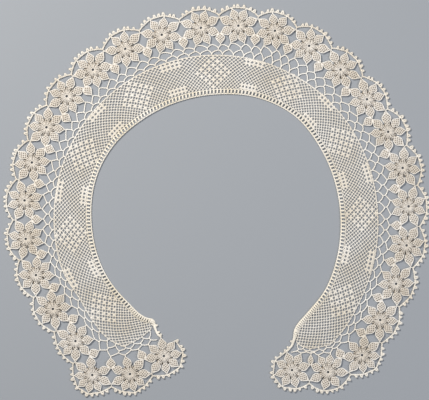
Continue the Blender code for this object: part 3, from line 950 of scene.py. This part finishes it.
# The rungs stand closer near both fronts, this far from the ends.
CLOSE_RUNG_PITCH = 1.8
CLOSE_RUNGS_LEFT = 37.0
CLOSE_RUNGS_RIGHT = 50.0
rungs = []
distance = RUNG_PITCH / 2
while distance < neck_length:
    if np.interp(distance, even_lengths, even_widths) >= RUNG_LEAST:
        reach = np.interp(distance, even_lengths, net_chain_places)
        foot, along = place_along(even_neck, distance)
        for side in (-1, 1):
            start = foot + NECK_CHAIN_INSET * left_of(along) + side * RUNG_SPREAD * along
            end = start + (reach - NECK_CHAIN_INSET) * left_of(along) + RUNG_LEAN * along
            rungs.append(at_height(np.linspace(start, end, len(RUNG_HEIGHTS)), RUNG_HEIGHTS))
    close = distance < CLOSE_RUNGS_LEFT or neck_length - distance < CLOSE_RUNGS_RIGHT
    distance += CLOSE_RUNG_PITCH if close else RUNG_PITCH
print("rungs:", len(rungs) // 2)

# %% Picots down the fronts
PICOT_THREAD_RADIUS = 0.58
# A picot of ordinary size, from one foot round to the other. Columns: along the chain, out from it.
PICOT_LOOP = (
    (-0.85, 0.0), (-0.68, 0.7), (-0.42, 1.45), (-0.15, 2.1),
    (0.15, 2.1), (0.42, 1.45), (0.68, 0.7), (0.85, 0.0),
)
# How far along the neck line the picots of the fronts stand. A place below nought counts from the far end.
FRONT_PICOTS = (1.4, 4.4, 10.5, -3.2, -9.4)
FRONT_PICOT_SIZE = 0.8
FRONT_PICOT_INSET = 0.3


def picot(base, along, out, height, size=1.0, lean=0.0):
    """A small closed loop that stands out from a chain and leans along it."""
    points = np.array([base + size * ((x + lean * y) * along + y * out) for x, y in PICOT_LOOP])
    return thread(at_height(points[::-1], height), PICOT_THREAD_RADIUS * size, closed=True)


front_picots = []
for place in FRONT_PICOTS:
    point, along = place_along(even_neck, place % neck_length)
    base = point + FRONT_PICOT_INSET * left_of(along)
    front_picots.append(picot(base, along, -left_of(along), EDGING_HEIGHT, FRONT_PICOT_SIZE))
print("picots down the fronts:", len(front_picots))

# %% Chains of the edging
NECK_CHAIN = {"radius": 0.32, "stitch": 1.9, "spread_out": 0.2, "sway": 0.10}
NET_CHAIN = {"radius": 0.2, "stitch": 1.9, "spread_out": 0.12, "sway": 0.06, "steps": 3}
NET_CHAIN_DROP = 0.1
# Down the fronts a thicker chain fills the room between the two, wherever the edging is this narrow.
FRONT_CHAIN = {"radius": 0.36, "stitch": 1.6, "spread_out": 0.26, "sway": 0.1}
FRONT_WIDTH = 3.0
narrow = even_widths < FRONT_WIDTH
first_wide, last_wide = int(narrow.argmin()), len(narrow) - int(narrow[::-1].argmin())
between_chains = beside(even_neck, (net_chain_places + NECK_CHAIN_INSET) / 2)
edging = [
    *chain(beside(even_neck, NECK_CHAIN_INSET), EDGING_HEIGHT, **NECK_CHAIN),
    *chain(beside(even_neck, net_chain_places), EDGING_HEIGHT - NET_CHAIN_DROP, **NET_CHAIN),
    *chain(between_chains[:first_wide], EDGING_HEIGHT, **FRONT_CHAIN),
    *chain(between_chains[last_wide:], EDGING_HEIGHT, **FRONT_CHAIN),
    thread(np.array(rungs), RUNG_RADIUS),
    *front_picots,
]
neck_edging = add_piece("neck_edging", edging, [edging_thread])
print("neck edging, triangles:", triangles_in(neck_edging))

# %% [markdown]
# ## Chain arches
#
# Two rows of chain arches carry the flowers. A lower arch stands on the net between two feet. The upper
# chain is caught to the tip of a petal or leaf, swings round in a bow, is caught again to the top of the
# lower arch, and then runs almost straight to the next tip. The maker's hand didn't keep that catch in the
# middle, so a small table says how far along each stretch it sits.

# %% Tips that the upper chain is caught to
# How far from a tip the middle of the chain passes.
CHAIN_CLEARANCE = 0.85
# At both ends the chain goes to the side of the petal that the neck edging runs to.
TAIL_REACH = 14.8
TAIL_SIDE = 13.6


def motif_tips():
    """Where the upper chain meets the motifs, in order."""
    places = []
    for number in range(1, FLOWERS + 1):
        centre = centres[number - 1]
        inner = [petal for petal in layouts[number - 1] if petal[2] == "arch"]
        places += [around(centre, way, reach + CHAIN_CLEARANCE) for way, reach, _ in reversed(inner)]
        if number < FLOWERS:
            joint = joints[number - 1]
            places.append(joint["leaf_tip"] - CHAIN_CLEARANCE * joint["out"])
    return places


first_tail = around(centres[0], neck_petal(layouts[0])[0] + TAIL_SIDE, TAIL_REACH)
last_tail = around(centres[-1], neck_petal(layouts[-1])[0] - TAIL_SIDE, TAIL_REACH)
tips = [first_tail, *motif_tips(), last_tail]
print("tips:", len(tips))

# %% How the catches lie
# Where the upper chain is caught, as a share of the way from one tip to the next, how far it bows on the
# way to the catch, as a share of that way, and how far up from the net the catch is, as a share of the way
# to the tips. Columns: angle, share of the way, bow, rise.
CATCHES = np.array((
    (-150.0, 0.50, 0.06, 0.70),
    (-115.0, 0.54, 0.03, 0.70),
    (-90.0, 0.48, 0.03, 0.60),
    (-62.0, 0.37, 0.03, 0.50),
    (-45.0, 0.42, 0.06, 0.50),
    (-33.0, 0.50, 0.10, 0.55),
    (-17.0, 0.78, 0.14, 0.70),
    (0.0, 0.76, 0.14, 0.70),
    (15.0, 0.76, 0.14, 0.70),
    (30.0, 0.46, 0.14, 0.70),
    (62.0, 0.49, 0.12, 0.70),
    (90.0, 0.47, 0.06, 0.70),
    (112.0, 0.56, 0.06, 0.70),
    (150.0, 0.50, 0.08, 0.70),
))
catch_shares, tip_bows, catch_rises = (
    [float(smooth(CATCHES[:, 0], CATCHES[:, column], angle_of(tip))) for tip in tips] for column in (1, 2, 3))
print("catches lie from", round(min(catch_shares), 2), "to", round(max(catch_shares), 2), "of the way")

# %% Feet of the arches
# A foot is drawn after the catch by this share of how far the catch is off the middle.
FOOT_PULL = 0.8
# Each foot stands off the rim on a short stem.
FOOT_STEM = 1.3
foot_places = np.array([nearest_along(rim, tip) for tip in tips])
for index in range(1, len(tips) - 1):
    way_on = np.linalg.norm(tips[index + 1] - tips[index])
    foot_places[index] += FOOT_PULL * (catch_shares[index] - 0.5) * way_on
# The maker steps along the rim more evenly than the tips lie above it: a foot stands at the mean of three.
foot_places[1:-1] = (foot_places[:-2] + foot_places[1:-1] + foot_places[2:]) / 3
stems = []
for place in foot_places:
    root, along = place_along(rim, place)
    stems.append((root, root + FOOT_STEM * left_of(along)))
feet = [foot for _, foot in stems]
print("feet:", len(feet))

# %% Catches and tops of the lower arches
# The top of a lower arch leans after the catch, but less. As a share of the way between its feet it is
# TOP_LEAN times the catch's share, plus TOP_REST.
TOP_LEAN = 0.6
TOP_REST = 0.2
# A short bar ties the lower arch to the catch. It takes no more than this share of the height there.
CATCH_BAR = 2.0
CATCH_BAR_SHARE = 0.3
catches, lower_tops = [], []
for index, share in enumerate(catch_shares[:-1]):
    high = tips[index] + share * (tips[index + 1] - tips[index])
    low = feet[index] + (TOP_LEAN * share + TOP_REST) * (feet[index + 1] - feet[index])
    catches.append(low + catch_rises[index] * (high - low))
    bar = min(CATCH_BAR, CATCH_BAR_SHARE * np.linalg.norm(high - low))
    lower_tops.append(catches[-1] - bar * unit(high - low))
print("catches:", len(catches))

# %% Chains of the arches
ARCH_CHAIN = {"radius": 0.27, "stitch": 1.9, "spread_out": 0.18, "sway": 0.10, "steps": 3}
CHAIN_HEIGHT = 0.6
CATCH_BOW = 0.01
LOWER_BOW = 0.10
# Below 1, this brings the top of a bow towards its start.
BOW_SKEW = 0.75
BOW_POINTS = 9
# A point nearer than this to the one before it is left out.
SAME_PLACE = 0.05
ARCH_BAR_RADIUS = 0.45
CATCH_KNOT = (0.8, 0.8, 0.6)
FOOT_KNOT = (0.7, 0.7, 0.5)


def bowed(start, end, bow):
    """A line from start to end that bows to its left, most of all in its first half."""
    shares = np.linspace(0.0, 1.0, BOW_POINTS)[:, None]
    skewed = shares ** BOW_SKEW
    rise = 4 * skewed * (1 - skewed) * bow * np.linalg.norm(end - start)
    return start + shares * (end - start) + rise * left_of(unit(end - start))


def without_repeats(parts):
    """Stretches of a line set end to end, without the points that they share."""
    line = np.concatenate(parts)
    steps = np.linalg.norm(np.diff(line, axis=0), axis=1)
    return line[np.concatenate(([True], steps > SAME_PLACE))]


upper, lower = [], []
for index, (catch, top) in enumerate(zip(catches, lower_tops)):
    upper += [bowed(tips[index], catch, tip_bows[index]), bowed(catch, tips[index + 1], CATCH_BOW)]
    lower += [bowed(feet[index], top, LOWER_BOW), bowed(top, feet[index + 1], LOWER_BOW)]
upper_line = without_repeats(upper)
lower_line = without_repeats(lower)
arches = [
    *chain(upper_line, CHAIN_HEIGHT, **ARCH_CHAIN),
    *chain(lower_line, CHAIN_HEIGHT, **ARCH_CHAIN),
    bars([*zip(catches, lower_tops), *stems], CHAIN_HEIGHT, ARCH_BAR_RADIUS),
    balls(catches, CHAIN_HEIGHT, CATCH_KNOT),
    balls(feet, CHAIN_HEIGHT, FOOT_KNOT),
]
arch_piece = add_piece("chain_arch_threads", arches, [chain_thread], ["chain_arches"])
arch_length = lengths_along(upper_line)[-1] + lengths_along(lower_line)[-1]
print("arches:", len(catches), "chain in mm:", round(arch_length), "triangles:", triangles_in(arch_piece))

# %% [markdown]
# ## A stitched leaf shape
#
# Petals and leaves are made the same way. The middle is filled with slanting stitches, and a cord is laid
# round it, so the middle is matt with rows of pinholes and the rim catches the light.
#
# The filling is made as it is worked: threads slant one way and the other across the shape, over and
# under, and each is cut where it meets the cord. Real needle stitches are finer than these. Drawn true,
# they would run together at this distance, so they are laid as far apart as they need to be to show.
#
# The shape is drafted on a plan of its own, forward from its base and to the left, and then set in place.

# %% The ground under the stitches, painted in shade
LEAF_ROWS = 10
# Shares of the half width, from the right edge to the left.
LEAF_COLUMNS = np.array((-1.0, -0.6, 0.0, 0.6, 1.0))
# How high the stitches lie at the cord.
STITCH_EDGE = 0.8
SHADE_GROUND_BOTTOM = 0.15
# How far below the stitches the ground lies.
SHADE_GROUND_DROP = 0.32
# How the padding swells along a leaf: where on a half wave it starts, how much of it it takes, how full.
SWELL_START = 0.07
SWELL_SPAN = 0.9
SWELL_POWER = 0.6


def swell(share):
    """How much of its crown a leaf has at a share of its length."""
    return np.sin(math.pi * np.clip(SWELL_SPAN * share + SWELL_START, 0.0, 1.0)) ** SWELL_POWER


def set_in_place(plan, forward, sideways):
    """Points of the plan as places on the collar."""
    along = plan["along"]
    return plan["base"] + forward[..., None] * along + sideways[..., None] * left_of(along)


def leaf_shade_ground(plan):
    """The thin sheet under the stitches, in painted shade, swelling to its crown."""
    sides = np.where(LEAF_COLUMNS > 0, plan["left"][:, None], -plan["right"][:, None]) * np.abs(LEAF_COLUMNS)
    top = set_in_place(plan, np.broadcast_to(plan["rows"][:, None], sides.shape), sides)
    share = np.linspace(0.0, 1.0, LEAF_ROWS + 1)[:, None]
    swelling = (plan["crown"] - STITCH_EDGE) * (1 - LEAF_COLUMNS ** 2) * swell(share)
    heights = STITCH_EDGE - SHADE_GROUND_DROP + swelling
    top = np.concatenate((top, heights[..., None]), axis=2)
    bottom = top[:, [0, -1]].copy()
    bottom[..., 2] = SHADE_GROUND_BOTTOM
    loop = np.concatenate((top, bottom[:, ::-1]), axis=1)
    index = np.arange(loop.shape[0] * loop.shape[1]).reshape(loop.shape[:2])
    here, there = index[:-1], index[1:]
    quads = np.stack((here, np.roll(here, -1, axis=1), np.roll(there, -1, axis=1), there), axis=-1)
    return shape(loop, [quads.reshape(-1, 4), index[:1, ::-1], index[-1:]], SHADE_GROUND)


# %% Where a stitch may lie
CORD_RADIUS = 0.40
# No stitch comes nearer to the base than this.
STITCH_START = 0.1


def half_widths(plan, line):
    """The half width to the left and to the right, at each point of a line."""
    return [np.interp(line[:, 0], plan["rows"], plan[side]) for side in ("left", "right")]


def within_cord(plan, line):
    """Which points of a line lie inside the cord."""
    left, right = half_widths(plan, line)
    forward, sideways = line.T
    lengthways = (forward > STITCH_START) & (forward < plan["length"])
    return lengthways & (sideways < left - CORD_RADIUS) & (sideways > CORD_RADIUS - right)


def stitch_heights(plan, line):
    """How high the stitches lie: lowest at the cord, highest on the middle of the leaf."""
    half = np.where(line[:, 1] > 0, *half_widths(plan, line))
    bulge = np.clip(1 - (line[:, 1] / half) ** 2, 0.0, 1.0) * swell(line[:, 0] / plan["length"])
    return STITCH_EDGE + (plan["crown"] - STITCH_EDGE) * bulge


# %% The stitches
# Real stitches lie about a millimetre apart, which is a guess. These are laid wider, so that they show.
STITCH_PITCH = 1.62
STITCH_SLANT = math.radians(50.0)
STITCH_RADIUS = 0.40
STITCH_WEAVE = 0.13
# Enough stitches on each side of the middle one, and enough length of each, to cover the longest petal.
STITCHES_A_SIDE = 8
STITCH_OVERRUN = 2.0
# A stitch shorter than this is left out.
LEAST_STITCH = 0.9
# How finely the place where a stitch meets the cord is searched for.
SEARCH_STEP = 0.15


def leaf_stitches(plan):
    """Slanting threads both ways, woven, each as long as the leaf is wide there."""
    by_length = {}
    reach = plan["length"] / 2 + STITCH_OVERRUN
    steps = np.arange(-reach, reach, SEARCH_STEP)
    # Along a stitch, those that slant the other way cross it this far apart.
    crossing = STITCH_PITCH / math.sin(2 * STITCH_SLANT)
    for lean in (1, -1):
        along = np.array((math.cos(STITCH_SLANT), lean * math.sin(STITCH_SLANT)))
        across = lean * left_of(along)
        for number in range(-STITCHES_A_SIDE, STITCHES_A_SIDE + 1):
            start = np.array((plan["length"] / 2, 0.0)) + STITCH_PITCH * number * across
            kept = steps[within_cord(plan, start + steps[:, None] * along)]
            if len(kept) * SEARCH_STEP < LEAST_STITCH:
                continue
            count = max(round((kept[-1] - kept[0]) / (crossing / 2)), 1)
            at = np.linspace(kept[0], kept[-1], count + 1)
            line = start + at[:, None] * along
            weave = lean * STITCH_WEAVE * np.cos(math.pi * (at / crossing + number))
            placed = set_in_place(plan, line[:, 0], line[:, 1])
            by_length.setdefault(count, []).append(at_height(placed, stitch_heights(plan, line) + weave))
    return [thread(np.array(lines), STITCH_RADIUS, STITCH_SIDES, finish=STITCH)
            for lines in by_length.values()]


# %% The whole leaf shape
CORD_HEIGHT = 1.12
CORD_STEP = 0.85
# The cord turns this far before the tip, because it has a thickness of its own.
TIP_DRAW_IN = 0.25
LEAST_HALF_WIDTH = 0.05


def stitched_leaf(base, tip, left, right, crown, first_row=0):
    """A padded leaf of stitches from base to tip. Its cord starts at a row. Widths are given row by row."""
    length = float(np.linalg.norm(tip - base)) - TIP_DRAW_IN
    plan = {
        "base": base,
        "along": unit(tip - base),
        "length": length,
        "rows": np.linspace(0.0, length, LEAF_ROWS + 1),
        "left": np.maximum(left - CORD_RADIUS, LEAST_HALF_WIDTH),
        "right": np.maximum(right - CORD_RADIUS, LEAST_HALF_WIDTH),
        "crown": crown,
    }
    up = evenly(set_in_place(plan, plan["rows"], plan["left"])[first_row:], CORD_STEP)
    down = evenly(set_in_place(plan, plan["rows"], -plan["right"])[first_row:][::-1], CORD_STEP)
    edge = np.concatenate((up[:-1], [base + length * plan["along"]], down[1:]))
    cord = thread(at_height(edge, CORD_HEIGHT), CORD_RADIUS, THIN_SIDES, finish=CORD)
    return [leaf_shade_ground(plan), *leaf_stitches(plan), cord]


# %% [markdown]
# ## Flowers
#
# Each flower starts from a small wrapped ring with a hole. Long stitches run out from the ring like rays
# and are held by a second ring, and from there grow eight petals. Pinholes stay open between the rays. A
# deep pinhole shows shade and not cloth, so the ground under the rays is painted in the darkest shade.

# %% A petal
PETAL_START = 5.3
# The cord starts at this row, where the petal comes out from under the rays.
PETAL_CORD_ROW = 2
# Half the width of a petal at distances from the flower's middle. Columns: distance, half width.
PETAL_PROFILE = np.array((
    (5.6, 2.1), (7.0, 2.9), (8.6, 3.6), (9.8, 3.95), (11.0, 3.7),
    (12.0, 3.1), (12.9, 2.3), (13.8, 1.55), (14.7, 0.95), (15.5, 0.45),
))
PETAL_CROWN = 1.5
# Half of the slit that stays open between two petals.
PETAL_SLIT = 0.24
PETAL_UNEVENNESS = 0.08


def petal(centre, layout, index):
    """One petal, as wide as its neighbours leave it."""
    way, reach, _ = layout[index]
    before = ((layout[index - 1][0] - way) % 360.0) / 2
    after = ((way - layout[(index + 1) % len(layout)][0]) % 360.0) / 2
    distances = np.linspace(PETAL_START, reach, LEAF_ROWS + 1)
    widths = smooth(PETAL_PROFILE[:, 0], PETAL_PROFILE[:, 1], distances * PETAL_PROFILE[-1, 0] / reach)
    left, right = (
        np.minimum(widths * (1 + rng.uniform(-PETAL_UNEVENNESS, PETAL_UNEVENNESS)),
                   distances * math.tan(math.radians(half)) - PETAL_SLIT)
        for half in (before, after))
    base, tip = (around(centre, way, distance) for distance in (PETAL_START, reach))
    return stitched_leaf(base, tip, left, right, PETAL_CROWN, PETAL_CORD_ROW)


# %% Heart of a flower
RAYS = 24
RAY_UNEVENNESS = 3.5
# A ray from the inner ring outward. Columns: distance, height, radius of the thread.
RAY = np.array(((1.9, 1.45, 0.27), (2.9, 1.4, 0.41), (3.8, 1.3, 0.45), (5.2, 1.15, 0.31), (7.6, 0.95, 0.29)))
# Each ring: its distance from the middle, its height and its number of points.
INNER_RING = (1.58, 1.2, 16)
INNER_RING_RADIUS = 0.56
OUTER_RING = (4.7, 0.85, 24)
OUTER_RING_RADIUS = 0.28
# The section of the ring of ground under the rays, which is painted in deep shade. Columns: distance, height.
HEART_SHADE_GROUND = np.array(((1.15, 0.2), (1.15, 0.9), (2.4, 1.0), (3.6, 0.75), (7.0, 0.35), (7.0, 0.2)))


def circle(centre, distance, height, count):
    turns = np.linspace(0.0, 2 * math.pi, count, endpoint=False)
    ring = np.stack((np.cos(turns), np.sin(turns)), axis=-1)
    return at_height(centre + distance * ring, height)


def heart(centre):
    """The wrapped ring, its rays and the ring that holds them, on a ground painted in deep shade."""
    turn = rng.uniform(0.0, 360.0 / RAYS)
    rays = []
    for ray in range(RAYS):
        way = turn + 360.0 / RAYS * ray + rng.uniform(-RAY_UNEVENNESS, RAY_UNEVENNESS)
        rays.append(at_height(np.array([around(centre, way, distance) for distance in RAY[:, 0]]), RAY[:, 1]))
    ground = np.array([circle(centre, distance, height, RAYS) for distance, height in HEART_SHADE_GROUND])
    index = np.arange(ground.shape[0] * RAYS).reshape(1, -1, RAYS)
    return [
        shape(ground, [tube_faces(index, closed=True)], DEEP_SHADE),
        thread(np.array(rays), RAY[:, 2], THIN_SIDES, finish=STITCH),
        thread(circle(centre, *INNER_RING), INNER_RING_RADIUS, BOLD_SIDES, closed=True, finish=STITCH),
        thread(circle(centre, *OUTER_RING), OUTER_RING_RADIUS, THIN_SIDES, closed=True, finish=STITCH),
    ]


flower_triangles = 0
for number, (centre, layout) in enumerate(zip(centres, layouts), start=1):
    shapes = heart(centre)
    for index in range(PETALS):
        shapes += petal(centre, layout, index)
    name = f"flower_{number:02d}"
    flower = add_piece(f"{name}_stitched", shapes, FLOWER_FINISHES, [name])
    flower_triangles += triangles_in(flower)
print("flowers:", FLOWERS, "triangles:", flower_triangles)

# %% [markdown]
# ## Leaves
#
# A small pointed leaf hangs where two flowers meet and reaches in to the chain. It is made just as a petal
# is, narrow at both ends.

# %% Leaves between the flowers
LEAF_BASE_OFFSET = 0.1
LEAF_CROWN = 1.4
# Half the width of a leaf along its length. Columns: share of the length, half width.
LEAF_PROFILE = np.array((
    (0.0, 1.3), (0.16, 3.0), (0.36, 4.1), (0.52, 3.7), (0.7, 2.6), (0.87, 1.2), (1.0, 0.45),
))
# The last leaf lies folded, so it is narrower.
FOLDED_LEAF = 28
FOLDED_WIDTH = 0.6
leaf_widths = smooth(LEAF_PROFILE[:, 0], LEAF_PROFILE[:, 1], np.linspace(0.0, 1.0, LEAF_ROWS + 1))
leaf_triangles = 0
for number, joint in enumerate(joints, start=1):
    base = joint["inner"] - LEAF_BASE_OFFSET * joint["out"]
    widths = leaf_widths * (FOLDED_WIDTH if number == FOLDED_LEAF else 1.0)
    shapes = stitched_leaf(base, joint["leaf_tip"], widths, widths, LEAF_CROWN)
    name = f"leaf_{number:02d}"
    leaf = add_piece(f"{name}_stitched", shapes, LEAF_FINISHES, [name])
    leaf_triangles += triangles_in(leaf)
print("leaves:", len(joints), "triangles:", leaf_triangles)

# %% [markdown]
# ## The picot edging
#
# A last chain runs round the outside, caught to the outer petals and drawn in where two flowers meet. It
# carries the picots, small loops in a close row that look like teeth from a step away. A picot's place,
# size and lean vary a little, as they do by hand.

# %% Line of the edge chain
EDGE_CHAIN_WIDTH = 1.2
# The chain bows out most beside a dip, and less between two petals of one flower.
EDGE_SHOULDER_RADIUS = 16.7
EDGE_CREST_RADIUS = 15.1
# Where it dips in between two flowers, it lies this far outside their joint, past the seam.
EDGE_DIP = 1.7
# On the right the chain ends a little past the petal's tip.
RIGHT_EDGE_END_TURN = -3.0
EDGE_STEPS = 60


def edge_arc(number):
    """Headings and radii, clockwise, that the edge chain runs through round one flower."""
    centre = centres[number - 1]
    layout = layouts[number - 1]
    off_tip = SEAM_GAP + EDGE_CHAIN_WIDTH / 2

    def dip(joint):
        """Heading and radius of the place where the chain dips in between two flowers."""
        point = joint["outer"] + (SEAM_GAP + EDGE_DIP) * joint["out"] - centre
        return heading(point), float(np.linalg.norm(point)), "dip"

    stops = [dip(joints[number - 2])] if number > 1 else []
    stops += [(way, reach + off_tip, "petal") for way, reach, kind in layout if kind == "edge"]
    if number == FLOWERS:
        way, reach, _ = neck_petal(layout)
        stops.append((way + RIGHT_EDGE_END_TURN, reach + off_tip, "petal"))
    if number < FLOWERS:
        stops.append(dip(joints[number - 1]))
    arc = [stops[0][:2]]
    for here, there in zip(stops[:-1], stops[1:]):
        span = (here[0] - there[0]) % 360.0
        radius = EDGE_CREST_RADIUS if here[2] == there[2] else EDGE_SHOULDER_RADIUS
        arc.append((arc[-1][0] - span / 2, radius))
        arc.append((arc[-1][0] - span / 2, there[1]))
    return np.array(arc)


def edge_round(number):
    """The line of the edge chain round one flower."""
    arc = edge_arc(number)
    turns = np.linspace(arc[0, 0], arc[-1, 0], EDGE_STEPS)
    radii = smooth(-arc[:, 0], arc[:, 1], -turns)
    return np.array([around(centres[number - 1], turn, radius) for turn, radius in zip(turns, radii)])


edge_lines = [edge_round(number) for number in range(1, FLOWERS + 1)]
edge_line = without_repeats(edge_lines)
print("edge chain in mm:", round(lengths_along(edge_line)[-1]))

# %% Picots and edge chain
EDGE_HEIGHT = 0.7
EDGE_CHAIN = {"radius": 0.34, "stitch": 1.9, "spread_out": 0.26, "sway": 0.12}
EDGE_BAR_RADIUS = 0.42
# The bar that sews a dip down starts this far outside the joint.
EDGE_BAR_START = 0.1
# No picot stands this near a dip.
DIP_CLEARANCE = 2.6
PICOT_PITCH = 4.2
PICOT_DRIFT = 0.14
PICOT_SIZES = (0.92, 1.28)
PICOT_LEAN = 0.3
picots = []
for number, line in enumerate(edge_lines, start=1):
    start = DIP_CLEARANCE if number > 1 else 0.0
    end = lengths_along(line)[-1] - (DIP_CLEARANCE if number < FLOWERS else 0.0)
    count = round((end - start) / PICOT_PITCH)
    for place in range(count):
        share = (place + 0.5 + rng.uniform(-PICOT_DRIFT, PICOT_DRIFT)) / count
        point, along = place_along(line, start + share * (end - start))
        size = rng.uniform(*PICOT_SIZES)
        lean = rng.uniform(-PICOT_LEAN, PICOT_LEAN)
        picots.append(picot(point, along, left_of(along), EDGE_HEIGHT, size, lean))
# A short bar sews each dip to the joint under it.
dip_bars = []
for joint in joints:
    start = joint["outer"] + EDGE_BAR_START * joint["out"]
    dip_bars.append((start, start + (SEAM_GAP + EDGE_DIP) * joint["out"]))
edge_shapes = [
    *chain(edge_line, EDGE_HEIGHT, **EDGE_CHAIN),
    *picots,
    bars(dip_bars, EDGE_HEIGHT, EDGE_BAR_RADIUS),
]
edge_piece = add_piece("picot_chain", edge_shapes, [picot_thread], ["picot_edging"])
print("picots:", len(picots), "triangles:", triangles_in(edge_piece))

# %% [markdown]
# ## Joining stitches
#
# The motifs are sewn to each other and to the chains with a few stitches at each meeting point. Small
# knots of thread stand for them, and hide the hair's breadth that separates the pieces.

# %% Stitches where pieces meet
JOIN_HEIGHT = 0.75
JOIN_KNOT = (0.62, 0.62, 0.5)
stitch_places = []
for centre, layout in zip(centres, layouts):
    free = [(way, reach) for way, reach, kind in layout if kind != "joint"]
    stitch_places += [around(centre, way, reach + SEAM_GAP / 2) for way, reach in free]
for joint in joints:
    stitch_places += [joint["outer"], joint["inner"], joint["leaf_tip"] - SEAM_GAP / 2 * joint["out"]]
joining = add_piece(
    "joining_stitches", [balls(stitch_places, JOIN_HEIGHT, JOIN_KNOT)], [chain_thread])
print("joining stitches:", len(stitch_places), "triangles:", triangles_in(joining))

# %% [markdown]
# ## The cloth as cut
#
# The net is the one sheet of cloth here. Laid straight it would be a band as wide as the ladder leaves
# and as long as its middle line. Everything else is worked on to it.

# %% [markdown]
# ## Floor, light and camera
#
# The lace is pale, so the floor is a plain cool grey, pale but darker than the cotton. A soft lamp shines
# from the upper left, and a wider, weaker one from the right, so the threads throw soft shadows into the
# holes. The camera looks straight down through a long lens.

# %% Floor
FLOOR_SIZE = 3000.0
# The floor lies a hair below the collar, so that the two never share a face.
FLOOR_DROP = 0.05
# Uncoated grey card: flat in colour, and without any shine that could compete with the thread.
FLOOR_COLOUR = "#979ba0"
FLOOR_ROUGHNESS = 0.9


def plain_floor():
    """One square face of grey card under the collar."""
    material = bpy.data.materials.new("plain_grey_card")
    material.use_nodes = True
    shader = material.node_tree.nodes["Principled BSDF"]
    shader.inputs["Base Color"].default_value = linear(FLOOR_COLOUR)
    shader.inputs["Roughness"].default_value = FLOOR_ROUGHNESS
    half = FLOOR_SIZE / 2
    plan = ((-half, -half), (half, -half), (half, half), (-half, half))
    mesh = bpy.data.meshes.new("floor")
    mesh.from_pydata([(x * MM, y * MM, -FLOOR_DROP * MM) for x, y in plan], [], [(0, 1, 2, 3)])
    mesh.materials.append(material)
    plane = bpy.data.objects.new("floor", mesh)
    bpy.context.scene.collection.objects.link(plane)
    return plane


floor = plain_floor()
floor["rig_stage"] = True
print("floor in mm:", FLOOR_SIZE, "square,", FLOOR_DROP, "below the collar")

# %% Lights
ROOM_COLOUR = "#e8ecf2"
ROOM_STRENGTH = 0.30


def soft_light(name, place, size, watts, colour):
    """A round lamp at a place in metres, turned to the middle of the collar."""
    data = bpy.data.lights.new(name, "AREA")
    data.shape = "DISK"
    data.size = size
    data.energy = watts
    data.color = linear(colour)[:3]
    light = bpy.data.objects.new(name, data)
    light.location = place
    light.rotation_mode = "QUATERNION"
    light.rotation_quaternion = (-light.location).to_track_quat("-Z", "Y")
    bpy.context.scene.collection.objects.link(light)
    return light


key = soft_light("key_light", place=(-0.75, 0.75, 0.95), size=0.45, watts=22.0, colour="#fffbf5")
fill = soft_light("fill_light", place=(0.9, -0.2, 0.9), size=0.9, watts=7.0, colour="#f2f6ff")
world = bpy.data.worlds.new("soft_room")
world.use_nodes = True
world.node_tree.nodes["Background"].inputs["Color"].default_value = linear(ROOM_COLOUR)
world.node_tree.nodes["Background"].inputs["Strength"].default_value = ROOM_STRENGTH
bpy.context.scene.world = world
bpy.context.scene.view_settings.view_transform = "Standard"
print("lamps in watts:", key.data.energy, fill.data.energy)

# %% Camera
# The picture's width in pixels, how many mm one of them shows, and the place at the picture's middle.
PICTURE_WIDTH = 429
PICTURE_SCALE = 0.83
PICTURE_MIDDLE = (-1.758, 0.444)
CAMERA_HEIGHT = 1500.0
SENSOR_WIDTH = 36.0
camera_data = bpy.data.cameras.new("camera")
camera_data.sensor_width = SENSOR_WIDTH
camera_data.lens = SENSOR_WIDTH * CAMERA_HEIGHT / (PICTURE_WIDTH * PICTURE_SCALE)
camera = bpy.data.objects.new("camera", camera_data)
camera.location = (PICTURE_MIDDLE[0] * MM, PICTURE_MIDDLE[1] * MM, CAMERA_HEIGHT * MM)
bpy.context.scene.collection.objects.link(camera)
bpy.context.scene.camera = camera
print("lens in mm:", round(camera_data.lens, 1))

# %% Sizes and finish
all_triangles = sum(triangles_in(piece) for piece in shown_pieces() if piece.type == "MESH")
print("triangles in all:", all_triangles)
